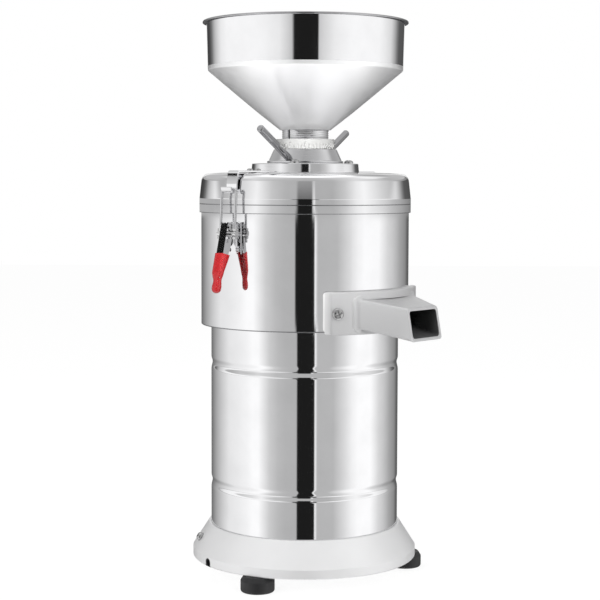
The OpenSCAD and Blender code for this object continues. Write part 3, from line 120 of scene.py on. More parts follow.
def steel(name, colour, rough, grain=0.0, wave=0.0, rings=0.0):
    """Bare metal: slow changes of tone and gloss; grain is fine, wave is the slow wave of
    sheet metal, and rings are the fine marks that a lathe leaves."""
    mat, tree, shader = new_material(name)
    shader.inputs["Metallic"].default_value = 1.0
    tree.links.new(mottled(tree, 35, 4, colour, 0.03), shader.inputs["Base Color"])
    gloss = noise(tree, 90, 5, rough=0.65)
    tree.links.new(ramp(tree, gloss, [(0.25, rough * 0.8), (0.75, rough * 1.25)]),
                   shader.inputs["Roughness"])
    last = None
    if wave:
        last = bump(tree, shader, noise(tree, 14, 1, (1, 1, 0.45)), wave, 0.001)
    if rings:
        last = bump(tree, shader, noise(tree, 1, 2, (8, 8, 2600)), rings, 0.0001, last)
    if grain:
        bump(tree, shader, noise(tree, 2200, 2), grain, 0.0001, last)
    return mat


def plastic(name, colour, rough, grain=0.05, scale=900, coat=0.0, spread=0.05, metal=0.0,
            edge=None):
    """Moulded or cast: slow changes of tone and gloss, and fine grain; edge is the tone of
    a painted highlight on its convex edges."""
    mat, tree, shader = new_material(name)
    shader.inputs["Metallic"].default_value = metal
    skin = mottled(tree, 40, 5, colour, spread)
    if edge is not None:
        # Painted highlight: the convex edges are lightened towards the edge tone.
        convex = tree.nodes.new("ShaderNodeNewGeometry").outputs["Pointiness"]
        skin = mixed(tree, ramp(tree, convex, [(0.53, 0.0), (0.62, 1.0)]), skin, edge)
    tree.links.new(skin, shader.inputs["Base Color"])
    gloss = noise(tree, 160, 4)
    tree.links.new(ramp(tree, gloss, [(0.3, rough * 0.85), (0.7, min(1, rough * 1.15))]),
                   shader.inputs["Roughness"])
    if grain:
        bump(tree, shader, noise(tree, scale, 3), grain, 0.0002)
    if coat:
        shader.inputs["Coat Weight"].default_value = coat
        shader.inputs["Coat Roughness"].default_value = 0.08
    return mat


MAT = {
    "mirror": steel("mirror_steel", (0.86, 0.86, 0.87), 0.045, wave=0.010),
    "rim": steel("rim_steel", (0.50, 0.50, 0.51), 0.12),
    # A darker copy of the steel: painted shade for the lid's seam and the hems.
    "seam": steel("seam_painted_shade", (0.30, 0.30, 0.31), 0.30),
    "rod": steel("rod_steel", (0.40, 0.40, 0.41), 0.03),
    "screw": steel("screw_steel", (0.48, 0.48, 0.48), 0.06, grain=0.04),
    "satin": plastic("satin_steel", (0.92, 0.92, 0.925), 0.34, 0, spread=0.01, metal=0.84),
    "turned": steel("turned_steel", (0.64, 0.64, 0.65), 0.13, rings=0.35),
    "bright": steel("bright_steel", (0.84, 0.84, 0.85), 0.06, rings=0.10),
    "thread": steel("thread_steel", (0.74, 0.74, 0.75), 0.16, grain=0.05),
    "plated": steel("plated_steel", (0.80, 0.80, 0.80), 0.12, grain=0.06),
    "chrome": steel("chromed_steel", (0.88, 0.88, 0.89), 0.05, grain=0.02),
    "machined": steel("machined_steel", (0.62, 0.62, 0.63), 0.24, grain=0.08, rings=0.5),
    "copper": steel("copper_wire", (0.70, 0.34, 0.17), 0.3, rings=1.0),
    # Pale casting whose convex edges carry a painted highlight at tone 0.80.
    "cast": plastic("pale_casting", (0.56, 0.56, 0.565), 0.34, 0, spread=0.012, metal=0.30,
                    edge=0.80),
    "base_cast": plastic("base_casting_skin", (0.86, 0.86, 0.865), 0.36, 0, spread=0.012,
                         metal=0.30),
    # Near black: painted shade inside the spout's bore.
    "bore": plastic("bore_painted_shade", (0.10, 0.10, 0.102), 0.6, 0.1, 700, metal=0.2),
    "grey_cast": plastic("grey_casting", (0.55, 0.55, 0.56), 0.45, 0.35, 700, metal=0.9),
    "rubber": plastic("black_rubber", (0.013, 0.013, 0.014), 0.5, 0.25, 1200),
    "gasket": plastic("white_rubber", (0.86, 0.86, 0.855), 0.5, 0.1),
    "ring": plastic("scale_plastic", (0.37, 0.37, 0.365), 0.42, scale=1200, spread=0.02),
    "black": plastic("black_plastic", (0.03, 0.03, 0.032), 0.4, 0.3, 1500),
    "vinyl": plastic("red_vinyl", (0.46, 0.008, 0.012), 0.26, scale=500, coat=0.3),
    "red": plastic("red_plastic", (0.55, 0.02, 0.02), 0.3, coat=0.2),
    "white": plastic("white_plastic", (0.82, 0.82, 0.81), 0.35),
    "stone": plastic("grinding_stone", (0.40, 0.41, 0.43), 0.85, 0.9, 1800, spread=0.25),
}


# Mesh helpers. A part is a pair (points in mm, faces).

def place(r, azimuth, z):
    a = radians(azimuth)
    return Vector((r * sin(a), -r * cos(a), z))


def toward(azimuth):
    """Turns what is drawn with +X outwards to an azimuth."""
    return Matrix.Rotation(radians(azimuth - 90), 4, "Z")


def posed(azimuth, r, z, tilt):
    """Puts what is drawn up Z at an azimuth, radius and height, tilted outwards."""
    return (toward(azimuth) @ Matrix.Translation((r, 0, z)) @
            Matrix.Rotation(radians(tilt), 4, "Y"))


def spun(angle):
    """Turns what is drawn round Z by an angle in radians."""
    return Matrix.Rotation(angle, 4, "Z")


def add(name, data):
    obj = bpy.data.objects.new(name, data)
    bpy.context.collection.objects.link(obj)
    return obj


def build(name, parts, body, mat, replaces=(), sharp=35, bevel=0.0, at=None):
    """One object from a list of parts, on a body; bevel in mm softens its edges."""
    verts, faces = [], []
    for pts, quads in parts:
        base = len(verts)
        verts += [Vector(p) for p in pts]
        faces += [tuple(base + i for i in q) for q in quads]
    if at is not None:
        verts = [at @ v for v in verts]
    verts = [v + AXIS for v in verts]
    mesh = bpy.data.meshes.new(name)
    mesh.from_pydata([tuple(v * MM) for v in verts], [], faces)
    mesh.validate()
    bm = bmesh.new()
    bm.from_mesh(mesh)
    bmesh.ops.recalc_face_normals(bm, faces=bm.faces)
    bm.to_mesh(mesh)
    bm.free()
    mesh.polygons.foreach_set("use_smooth", [True] * len(mesh.polygons))
    mesh.set_sharp_from_angle(angle=radians(sharp))
    mesh.materials.append(MAT[mat])
    obj = add(name, mesh)
    if bevel:
        mod = obj.modifiers.new("soft_edges", "BEVEL")
        mod.width = bevel * MM
        mod.segments = 3
        mod.limit_method = "ANGLE"
        mod.angle_limit = radians(35)
        mod.harden_normals = True
    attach(obj, body)
    if replaces:
        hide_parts(*replaces)


def rounded(points, radii, steps=4, closed=True):
    """A 2D outline with its corners turned into arcs; radii has one radius a corner."""
    straight = radians(88)
    out = []
    n = len(points)
    for i, (p, r) in enumerate(zip(points, radii)):
        if r <= 0 or (not closed and i in (0, n - 1)):
            out.append(tuple(p))
            continue
        p = Vector(p)
        a, b = Vector(points[i - 1]) - p, Vector(points[(i + 1) % n]) - p
        shorter = min(a.length, b.length)
        a.normalize()
        b.normalize()
        half = acos(max(-1, min(1, a.dot(b)))) / 2
        if half > straight:
            out.append(tuple(p))
            continue
        cut = min(r / tan(half), shorter * 0.49)
        centre = p + (a + b).normalized() * (cut * tan(half) / sin(half))
        s, e = p + a * cut - centre, p + b * cut - centre
        turn = atan2(s.x * e.y - s.y * e.x, s.dot(e))
        for k in range(steps + 1):
            c, d = cos(turn * k / steps), sin(turn * k / steps)
            out.append((centre.x + s.x * c - s.y * d, centre.y + s.x * d + s.y * c))
    return out


def guarded(profile, keep=0.2):
    """Adds a point near each end of a long side that meets a much shorter one, so that
    the smooth normals of a rounded edge don't bend the long side's reflections."""
    n = len(profile)
    spots = [Vector(p) for p in profile]
    length = [(spots[(k + 1) % n] - spots[k]).length for k in range(n)]
    out = []
    for k, p in enumerate(spots):
        out.append(tuple(p))
        if length[k] < 6 * keep:
            continue
        way = (spots[(k + 1) % n] - p).normalized() * keep
        if length[k - 1] < 0.6 * length[k]:
            out.append(tuple(p + way))
        if length[(k + 1) % n] < 0.6 * length[k]:
            out.append(tuple(spots[(k + 1) % n] - way))
    return out


def lathe(profile, segments=192, shape=None, skip=None, angles=None):
    """Turns an (r, z) outline round Z. shape(angle, r, z) may change a radius, and skip
    leaves faces out where it is true for an angle and the two ends of a side."""
    if not shape:
        profile = guarded(profile)
    angles = angles or [360 * i / segments for i in range(segments)]
    pts = [place(shape(a, r, z) if shape else r, a, z) for a in angles for r, z in profile]
    faces = []
    n = len(profile)
    for i, angle in enumerate(angles):
        j = (i + 1) % len(angles)
        mid = (angle + (angles[j] if j else angles[0] + 360)) / 2
        for k in range(n):
            m = (k + 1) % n
            on_axis = profile[k][0] < 1e-6 and profile[m][0] < 1e-6
            if on_axis or (skip and skip(mid, profile[k], profile[m])):
                continue
            faces.append((i * n + k, j * n + k, j * n + m, i * n + m))
    return pts, faces


def prism(outline, low, high):
    """An outline in XZ given a thickness along Y."""
    n = len(outline)
    pts = [(a, t, b) for t in (low, high) for a, b in outline]
    faces = [tuple(range(n)), tuple(range(2 * n - 1, n - 1, -1))]
    faces += [(i, (i + 1) % n, n + (i + 1) % n, n + i) for i in range(n)]
    return pts, faces


def moved(part, matrix):
    return [matrix @ Vector(p) for p in part[0]], part[1]


def grid(rows, close_u=False, close_v=False):
    """Faces between rows of points of equal length."""
    n = len(rows[0])
    pts = [p for row in rows for p in row]
    faces = []
    for i in range(len(rows) if close_u else len(rows) - 1):
        a, b = i * n, ((i + 1) % len(rows)) * n
        for k in range(n if close_v else n - 1):
            m = (k + 1) % n
            faces.append((a + k, a + m, b + m, b + k))
    return pts, faces


def progress(t, start, end):
    """How much of the way from start to end t has gone, from 0 to 1."""
    return min(1, max(0, (t - start) / (end - start)))


# Sizes in mm, from the frame where a node's box has them and else from the part's
# source, and azimuths in degrees: 0 is the front, 90 the right.

def size(node):
    """Radius, lowest and highest height of a node that is round the axis."""
    low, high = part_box(node)
    return [round(v / MM, 1) for v in ((high.x - low.x) / 2, low.z, high.z)]


SKIRT_R, _, Z_RIM = size("base_casting")
BARREL_R, Z_SEAT, Z_SHELL = size("motor_barrel")
CHAMBER_R, _, Z_SHELL_TOP = size("chamber_shell")
LID_R, Z_LID_SKIRT, Z_LID = size("lid_cover")
FLANGE_R, Z_HUB, Z_FLANGE = size("top_flange")
NUT_LIP_R, Z_SLEEVE, Z_NUT_TOP = size("adjusting_nut")
RING_R, Z_RING, _ = size("scale_ring")
CARRIER_R, Z_CARRIER, Z_NECK = size("stone_carrier")
_, Z_SPIGOT, _ = size("hopper_cone")
_, _, Z_TOP = size("hopper_drum")
Z_BAND, Z_FLOOR, Z_NUT = 27.0, 280.0, 446.9
RIM_R, SHEET, LID_SHEET = 105.0, 1.2, 1.7
TUBE_R, TUBE_BORE_R, SLEEVE_R, HUB_R = 25.5, 19.5, 35.0, 44.5
SPOUT_AZ, LATCH_AZ, FOOT_AZ, GUIDE_AZ = 49.0, -40.5, -25.5, -45.0
SCREW_AZ, GROUND_AZ, HANDLE_AZ = -13.0, -78.0, -29
LATCHES = (("front", LATCH_AZ), ("rear", LATCH_AZ + 180))
GAP = 0.02  # Keeps apart faces that would meet
ROUND = 240  # Segments round the large shells


# Hopper: the cone with its spigot, the drum from the weld up, and the lip

SPIGOT_R, SPIGOT_BORE_R, CONE_FOOT_R = TUBE_BORE_R - 0.25, 17.45, 27.9
WELD_R, EDGE_R, LIP_R, HOPPER_SHEET = 106.2, 107.6, 111.8, 1.1
Z_WELD, Z_EDGE = 551.4, 598.2


def hopper_foot():
    """The spigot, its shoulder on the tube and the cone, which bulges by a hair."""
    shoulder, inside = Z_NECK - 0.3, Z_NECK + 2.1
    cone = [(SPIGOT_BORE_R, Z_SPIGOT), (SPIGOT_R - 0.55, Z_SPIGOT), (SPIGOT_R, Z_SPIGOT + 0.6),
            (SPIGOT_R, shoulder), (CONE_FOOT_R, shoulder), (CONE_FOOT_R + 0.9, shoulder + 0.9),
            (50.0, 500.4), (70.0, 516.8), (88.0, 531.8), (WELD_R - 0.1, Z_WELD - 4.4),
            (WELD_R, Z_WELD)]
    outer = rounded(cone, [0, 0, 0, 0.3, 0.4, 0.8, 60, 60, 60, 2.6, 0], 8, closed=False)
    wall = [(WELD_R - HOPPER_SHEET, Z_WELD), (WELD_R - 1.3, Z_WELD - 3),
            (CONE_FOOT_R - 0.3, inside), (SPIGOT_BORE_R, inside)]
    return lathe(outer + rounded(wall, [0, 2.0, 1.0, 0], 5, closed=False), ROUND)


def hopper_wall():
    """The drum, which stands on the cone's edge and flares a little."""
    low_r, low = WELD_R + 0.05, Z_WELD + GAP
    return lathe([(low_r, low), (EDGE_R, Z_EDGE), (EDGE_R - HOPPER_SHEET, Z_EDGE),
                  (low_r - HOPPER_SHEET, low)], ROUND)


def hopper_lip():
    """The drum's edge, turned out and down."""
    inner_r, fold_r = EDGE_R - HOPPER_SHEET, LIP_R - 0.9
    low, under, hem = Z_EDGE + GAP, Z_TOP - 1.0, Z_TOP - 2.1
    over = [(inner_r, low), (inner_r, Z_TOP), (LIP_R, Z_TOP), (LIP_R, hem), (fold_r, hem),
            (fold_r, under), (EDGE_R, under), (EDGE_R, low)]
    return lathe(rounded(over, [0, 0.9, 1.4, 0.5, 0.5, 0.4, 0.3, 0], 6), ROUND)


build("hopper_cone_shell", [hopper_foot()], "feed_hopper", "satin",
      ["hopper_cone"], sharp=32)
build("hopper_drum_shell", [hopper_wall()], "feed_hopper", "mirror",
      ["hopper_drum"], sharp=32)
build("hopper_rim", [hopper_lip()], "feed_hopper", "rim", sharp=32)


# Stone carrier's tube, with its thread and keyway

KEYWAY_R, KEYWAY_HALF_W = 23.1, 2.0
KEYWAY_EDGE = degrees(KEYWAY_HALF_W / TUBE_R)
THREAD_LOW, THREAD_TOP, THREAD_PITCH, THREAD_DEPTH = 392.0, 482.4, 2.0, 0.62


def carrier_shape(angle, r, z):
    if r < TUBE_R - 0.3 or z < THREAD_LOW:
        return r
    if abs((angle - GUIDE_AZ + 180) % 360 - 180) < KEYWAY_EDGE:
        return KEYWAY_R
    if z >= THREAD_TOP:
        return r
    return r - THREAD_DEPTH * abs(2 * ((z / THREAD_PITCH - angle / 360.0) % 1.0) - 1)


def carrier():
    """The thread is drawn only near its two ends, which show."""
    angles = sorted({round(i * 2.5, 3) for i in range(144)} |
                    {round((GUIDE_AZ + s * (KEYWAY_EDGE + d)) % 360, 3)
                     for s in (-1, 1) for d in (-0.04, 0.04)})
    chamfer, plate_top = 0.6, Z_CARRIER + 7.4
    low, top, step = THREAD_LOW - 1, Z_NECK - chamfer, 0.5
    steps = [low + step * k for k in range(int((top - low) / step))]
    profile = [(TUBE_BORE_R, Z_CARRIER), (CARRIER_R, Z_CARRIER), (CARRIER_R, plate_top - chamfer),
               (CARRIER_R - chamfer, plate_top)]
    fillet = ((8, 0), (3.5, 1.5), (0.7, 5), (0, 8))
    profile += [(TUBE_R + out, plate_top + up) for out, up in fillet]
    profile += [(TUBE_R, z) for z in steps if z < THREAD_LOW + 8 or z > Z_NUT_TOP - 3]
    profile += [(TUBE_R, top), (TUBE_R - chamfer, Z_NECK), (TUBE_BORE_R, Z_NECK)]
    return lathe(profile, shape=carrier_shape, angles=angles)


build("carrier_tube", [carrier()], "upper_stone_carrier", "thread",
      ["stone_carrier"], sharp=50)


# Scale ring with its notches, which are longer at each fourth place

NOTCH_PITCH, NOTCH_HALF, NOTCH_DEPTH = 7.5, 1.35, 0.85
NOTCH_LOW, SHORT_TOP, LONG_TOP = Z_RING + 0.3, Z_RING + 5.3, Z_RING + 7.4
RING_SEAT_R = TUBE_R + 2.5


def ring_shape(angle, r, z):
    index = round(angle / NOTCH_PITCH)
    top = LONG_TOP if index % 4 == 0 else SHORT_TOP
    if r < RING_R - 1 or z < NOTCH_LOW or z >= top:
        return r
    off = abs(angle - index * NOTCH_PITCH)
    return r - NOTCH_DEPTH * max(0.0, 1 - (off / NOTCH_HALF) ** 4)


def scale_ring():
    angles = sorted({round(i * NOTCH_PITCH + d, 3) % 360 for i in range(48)
                     for d in (-1.5, -1.2, -0.8, 0, 0.8, 1.2, 1.5, 2.6, 3.75, 4.9)})
    bore_r = RING_SEAT_R + 0.05
    rises = (0.6, 2, 4, 5.2, 5.4, 6.4, 7.3, 7.5, 9, 9.9, 10.4)
    profile = ([(bore_r, Z_RING), (RING_R - 0.4, Z_RING), (RING_R, NOTCH_LOW)] +
               [(RING_R, Z_RING + up) for up in rises] +
               [(RING_R - 0.15, Z_NUT_TOP - 0.2), (RING_R - 0.5, Z_NUT_TOP), (bore_r, Z_NUT_TOP)])
    return lathe(profile, shape=ring_shape, angles=angles)


build("graduated_ring", [scale_ring()], "adjuster", "ring", ["scale_ring"],
      sharp=40)


# Flange on the lid

SLEEVE_GAP = 0.06
SLEEVE_BORE_R = TUBE_R + SLEEVE_GAP


def lid_flange():
    seat_r = SLEEVE_R + SLEEVE_GAP
    outline = [(SLEEVE_BORE_R, Z_HUB), (HUB_R - 1, Z_HUB), (HUB_R, Z_HUB + 1), (HUB_R, Z_LID),
               (FLANGE_R, Z_LID), (FLANGE_R - 0.8, Z_FLANGE), (seat_r, Z_FLANGE),
               (seat_r, Z_SLEEVE), (SLEEVE_BORE_R, Z_SLEEVE)]
    return lathe(rounded(outline, [0.3, 0.3, 0.3, 0, 0.5, 0.9, 0.6, 0, 0.3]))


build("lid_flange", [lid_flange()], "frame", "bright", ["top_flange"], sharp=40)


# Lid: the pressed shell, and the seam and hem of its skirt, which are dark with painted shade

LID_HEM, LID_INNER_R, Z_LID_WALL = 0.7, LID_R - LID_SHEET, 409.0
SEAM_Z, SEAM_HALF, SEAM_DEPTH = 402.9, 0.5, 0.5
LID_HOLE_R, FLAT_R, CROWN_R = HUB_R + 0.5, 78.0, 92.0


def lid_shell():
    low, deep = Z_LID_SKIRT + LID_HEM + GAP, LID_R - SEAM_DEPTH
    side = [(LID_R, low), (LID_R, SEAM_Z - SEAM_HALF), (deep, SEAM_Z - SEAM_HALF + 0.05),
            (deep, SEAM_Z + SEAM_HALF - 0.05), (LID_R, SEAM_Z + SEAM_HALF),
            (LID_R, Z_LID_WALL - 0.2), (LID_R - 0.03, Z_LID_WALL + 0.2)]
    top = [(LID_R - 3.0, Z_LID - 1.7), (CROWN_R, Z_LID - 0.4), (FLAT_R, Z_LID),
           (LID_HOLE_R, Z_LID)]
    out = rounded(side + top, [0] * len(side) + [8.5, 30, 20, 0], 10, closed=False)
    inner = [(LID_HOLE_R, Z_LID - LID_SHEET), (FLAT_R, Z_LID - LID_SHEET), (CROWN_R, Z_LID - 2.3),
             (104.0, Z_LID - 4), (108.9, Z_LID - 7), (110.6, Z_LID - 11.6),
             (LID_INNER_R, Z_LID_WALL), (LID_INNER_R, low)]
    return lathe(out + inner, ROUND)


def lid_seams():
    """The floor of the groove round the skirt, and the hem at its lower edge, both dark with
    painted shade.
    """
    deep, proud = LID_R - SEAM_DEPTH + 0.02, LID_R - 0.02
    low, high = SEAM_Z - SEAM_HALF + 0.06, SEAM_Z + SEAM_HALF - 0.06
    hem = [(LID_INNER_R, Z_LID_SKIRT), (LID_R, Z_LID_SKIRT), (LID_R, Z_LID_SKIRT + LID_HEM),
           (LID_INNER_R, Z_LID_SKIRT + LID_HEM)]
    return [lathe([(deep, low), (proud, low), (proud, high), (deep, high)], ROUND),
            lathe(rounded(hem, [0.2, 0.5, 0.1, 0], 3), ROUND)]


build("lid_shell", [lid_shell()], "frame", "mirror", ["lid_cover"], sharp=32)
build("lid_seams", lid_seams(), "frame", "seam", sharp=40)


# Chamber shell with the port for the spout, and its hem

PORT_HALF_W, Z_PORT_TOP, Z_MID_WALL, HEM, HEM_INNER_R = 46.0, 305, 340, 1.2, 96


def chamber():
    half = degrees(asin(PORT_HALF_W / CHAMBER_R))
    edges = [SPOUT_AZ - half, SPOUT_AZ + half]
    angles = sorted({round(i * 1.5, 3) for i in range(240)} | {round(e, 3) for e in edges})
    levels = (Z_SHELL + HEM + GAP, Z_FLOOR, Z_PORT_TOP, Z_MID_WALL, Z_SHELL_TOP)
    profile = ([(CHAMBER_R, z) for z in levels] +
               [(CHAMBER_R - SHEET, z) for z in reversed(levels)])

    def port(angle, a, b):
        on_wall = min(a[0], b[0]) > CHAMBER_R - 2 * SHEET
        return on_wall and edges[0] < angle < edges[1] and Z_FLOOR < (a[1] + b[1]) / 2 < Z_PORT_TOP

    return lathe(profile, skip=port, angles=angles)


def chamber_hem():
    top = Z_SHELL + HEM
    outline = [(HEM_INNER_R, Z_SHELL), (CHAMBER_R, Z_SHELL), (CHAMBER_R, top), (HEM_INNER_R, top)]
    return lathe(rounded(outline, [0, 1.1, 0, 0], 5), ROUND)


build("chamber_wall", [chamber()], "frame", "mirror", ["chamber_shell"],
      sharp=32)
# The hem is dark with painted shade where the chamber meets the barrel.
build("chamber_hem", [chamber_hem()], "frame", "seam", sharp=32)


# Barrel with its two rolled grooves

GROOVES, GROOVE_BELOW, GROOVE_ABOVE, GROOVE_DEPTH = (100.7, 230.7), 8.5, 6.0, 1.3


def groove(mid, steps=22):
    out = []
    for i in range(-steps, steps + 1):
        t = i / steps
        out.append((BARREL_R - GROOVE_DEPTH * (1 + cos(pi * t)) / 2,
                    mid + (GROOVE_BELOW if t < 0 else GROOVE_ABOVE) * t))
    return out


def barrel():
    side = ([(BARREL_R, Z_SEAT)] + [p for mid in GROOVES for p in groove(mid)] +
            [(BARREL_R, Z_SHELL)])
    return lathe(side + [(r - SHEET, z) for r, z in reversed(side)], ROUND)


build("barrel_shell", [barrel()], "frame", "mirror", ["motor_barrel"], sharp=32)


# Rubber feet

FOOT_CIRCLE_R, FOOT_H, FOOT_R, FOOT_TOP_R = 112.5, 17, 17.9, 14.8
RECESS_R, RECESS_DEPTH, FOOT_HOLE_R = 8, 9, 3.3


def feet():
    """Three feet, each with a recess and a hole for its screw."""
    outline = [(RECESS_R, 0), (FOOT_R, 0), (FOOT_R, 12.2), (FOOT_TOP_R, FOOT_H),
               (FOOT_HOLE_R, FOOT_H), (FOOT_HOLE_R, RECESS_DEPTH), (RECESS_R, RECESS_DEPTH)]
    foot = lathe(rounded(outline, [0.4, 2.6, 2.2, 0.8, 0, 0, 0.3], 6), 72)
    return [moved(foot, Matrix.Translation(place(FOOT_CIRCLE_R, FOOT_AZ + 120 * i, 0)))
            for i in range(3)]


build("moulded_feet", feet(), "frame", "rubber", ["rubber_feet"], sharp=40)


# Spout: a rounded box section that narrows to a slanted mouth, drawn along +X

ROOT_X, MOUTH_X, MOUTH_LEAN = 105.0, 160.5, 7.0
ROOT_HALF_W, MOUTH_HALF_W, MOUTH_H = 50.5, 26.0, 34.6
Z_ROOT, Z_ROOT_TOP, Z_MOUTH_TOP = 277.0, 308.0, 298.5
SHELL_OUT, FLANGE_OUT = 115.5, 121.5
PLATE_HALF_W, Z_PLATE, Z_PLATE_TOP = 72.5, 269.6, 314.5
FILLET, SPOUT_WALL = 3.6, 3.1


def spout_section(x, inset):
    """Half width, upper and lower height of the spout at a distance from the axis."""
    narrowing = (ROOT_HALF_W - MOUTH_HALF_W) * progress(x, ROOT_X, MOUTH_X)
    wide = ROOT_HALF_W - narrowing - inset
    top = Z_ROOT_TOP - (Z_ROOT_TOP - Z_MOUTH_TOP) * (x - ROOT_X) / (MOUTH_X - ROOT_X) - inset
    drop = (Z_ROOT - (Z_MOUTH_TOP - MOUTH_H)) / (MOUTH_X + MOUTH_LEAN - ROOT_X)
    return wide, top, Z_ROOT - drop * (x - ROOT_X) + inset


def section_point(line, x, inset, grow):
    """The point of one line along the spout; grow widens the section for the fillet."""
    wide, top, low = spout_section(x, inset)
    sy, sz, cy, cz = line
    r = max(hypot(cy, cz), 1e-6)
    k = (r + grow) / r
    return sy * (wide - r) + cy * k, (top - r if sz > 0 else low + r) + cz * k


def subdivide_ring(ring, steps=4):
    """Adds points along the long flats of a ring of points."""
    out = []
    for i, p in enumerate(ring):
        p, q = Vector(p), Vector(ring[(i + 1) % len(ring)])
        out.append(tuple(p))
        if (q - p).length > 6:
            out += [tuple(p.lerp(q, k / steps)) for k in range(1, steps)]
    return out


def spout_loft(inset, corner, near, depths=(), shares=()):
    """Rings from a round wall of radius near to the mouth: at depths in mm from the wall,
    with the fillet, and then at shares of the whole way."""
    lines = []
    for q, (sy, sz) in enumerate([(1, 1), (-1, 1), (-1, -1), (1, -1)]):
        for k in range(6):
            a = radians(90 * q + 90 * k / 5)
            lines.append((sy, sz, corner * cos(a), corner * sin(a)))

    def ring(depth, share):
        out = []
        for line in lines:
            x0 = near
            for _ in range(4):
                y, z = section_point(line, x0 + 0.5, inset, 0)
                x0 = sqrt(max(1.0, near * near - y * y))
            y, z = section_point(line, MOUTH_X, inset, 0)
            x1 = MOUTH_X + MOUTH_LEAN * (Z_MOUTH_TOP - z) / MOUTH_H
            x = x0 + depth if share is None else x0 + (x1 - x0) * share
            grow = 0.0
            if share is None and FILLET > depth:
                grow = FILLET - sqrt(max(0.0, FILLET ** 2 - (FILLET - depth) ** 2))
            out.append((x, *section_point(line, x, inset, grow)))
        return subdivide_ring(out)

    return [ring(d, None) for d in depths] + [ring(None, s) for s in shares]


def spout_body():
    """The skin with the mouth's rim, and the bore, which have their own materials; the bore's near
    black is painted shade.
    """
    outer = spout_loft(0.0, 3.4, FLANGE_OUT,
                       depths=[-2.0, 0.0, 0.25, 0.6, 1.1, 1.8, 2.6, FILLET, 6.0],
                       shares=[0.3, 0.45, 0.6, 0.75, 0.9, 0.985])
    inner = spout_loft(SPOUT_WALL, 3.2, CHAMBER_R + 0.7,
                       shares=[0.985, 0.9, 0.75, 0.6, 0.45, 0.3, 0.1, 0.0])
    rim = [spout_loft(inset, corner, FLANGE_OUT, shares=[way])[0] for inset, corner, way in
           ((0.35, 3.2, 0.997), (0.9, 2.8, 1.0), (SPOUT_WALL - 0.5, 3.2, 1.0),
            (SPOUT_WALL - 0.1, 3.2, 0.997))]
    return grid(outer + rim + [inner[0]], close_v=True), grid(inner, close_v=True)


def wrapped_plate(in_r, out_r, half, low, high, corner, edge, hole):
    """A plate bent round the shell with rounded corners and edges; hole is (half, low, high)."""
    cols, rows = 72, 26
    ys = [half * (2 * i / cols - 1) for i in range(cols + 1)]
    zs = [low + (high - low) * k / rows for k in range(rows + 1)]
    soft = [edge * t for t in (0.0, 0.08, 0.3, 0.62, 1.0)]
    ys = sorted({round(v, 4) for v in ys if half - abs(v) > edge} |
                {round(s * (half - e), 4) for s in (-1, 1) for e in soft} |
                {round(s * hole[0], 4) for s in (-1, 1)})
    zs = sorted({round(v, 4) for v in zs if min(v - low, high - v) > edge} |
                {round(low + e, 4) for e in soft} | {round(high - e, 4) for e in soft} |
                {hole[1], hole[2]})

    def edge_drop(y, z):
        dx, dz = max(0, edge - half + abs(y)), max(0, edge - min(z - low, high - z))
        return edge - sqrt(max(0.0, edge ** 2 - min(hypot(dx, dz), edge) ** 2))

    def corner_in(y, z):
        """Pulls the square corner of the outline in to a round one."""
        ky = abs(y) - (half - corner)
        kz = max(low + corner - z, z - (high - corner))
        if ky <= 0 or kz <= 0:
            return y, z
        f = max(ky, kz) / hypot(ky, kz)
        zz = (low + corner - kz * f) if z < (low + high) / 2 else (high - corner + kz * f)
        return copysign(half - corner + ky * f, y), zz

    def make(front):
        out = []
        for y in ys:
            out.append([])
            for z in zs:
                yy, zz = corner_in(y, z)
                r = out_r - edge_drop(y, z) if front else in_r
                out[-1].append((sqrt(r * r - yy * yy), yy, zz))
        return grid(out)

    def solid(face, pts):
        c = sum((Vector(pts[i]) for i in face), Vector()) / len(face)
        return not (abs(c.y) < hole[0] and hole[1] < c.z < hole[2])

    (front, front_faces), (back, back_faces) = make(True), make(False)
    off, n, last = len(front), len(zs), len(ys) - 1
    faces = [f for f in front_faces if solid(f, front)]
    faces += [tuple(off + i for i in reversed(f)) for f in back_faces if solid(f, back)]
    border = (list(range(n)) + [c * n + n - 1 for c in range(1, last + 1)] +
              [last * n + k for k in range(n - 2, -1, -1)] +
              [c * n for c in range(last - 1, 0, -1)])
    for i, a in enumerate(border):
        b = border[(i + 1) % len(border)]
        faces.append((a, b, off + b, off + a))
    return front + back, faces


spout_plate = wrapped_plate(SHELL_OUT, FLANGE_OUT, PLATE_HALF_W, Z_PLATE, Z_PLATE_TOP,
                            corner=2.6, edge=1.6,
                            hole=(PORT_HALF_W + 0.5, Z_FLOOR - 0.8, Z_PORT_TOP + 1))
spout_skin, spout_bore = spout_body()
build("cast_spout", [spout_skin, spout_plate], "frame", "cast", ["spout"],
      sharp=46, at=toward(SPOUT_AZ))
# The bore's dark material is painted shade inside the spout.
build("spout_bore", [spout_bore], "frame", "bore", sharp=46, at=toward(SPOUT_AZ))
spout_seal = wrapped_plate(CHAMBER_R + 0.05, SHELL_OUT, PLATE_HALF_W - 0.4, Z_PLATE + 2.6,
                           Z_PLATE_TOP - 0.3, corner=3.6, edge=0.5,
                           hole=(PORT_HALF_W + 0.4, Z_FLOOR - 0.4, Z_PORT_TOP + 0.4))
build("spout_seal", [spout_seal], "frame", "gasket", ["spout_gasket"],
      sharp=40, at=toward(SPOUT_AZ))


# Screws. Each head is turned by some other angle, as driven screws are.

M5_R, M3_5_R = 2.5, 1.75
SPOUT_SCREW_SIDE, Z_SPOUT_SCREW, SCREW_CIRCLE_R, HOOK_SCREWS_R = 66, 292.0, 50.0, (77.0, 89.0)
EARTH_RISE, WASHER_T, WASHER_R, WASHER_BORE_R = 12, 1.0, 4.8, 2.6
HOOK_T = 2


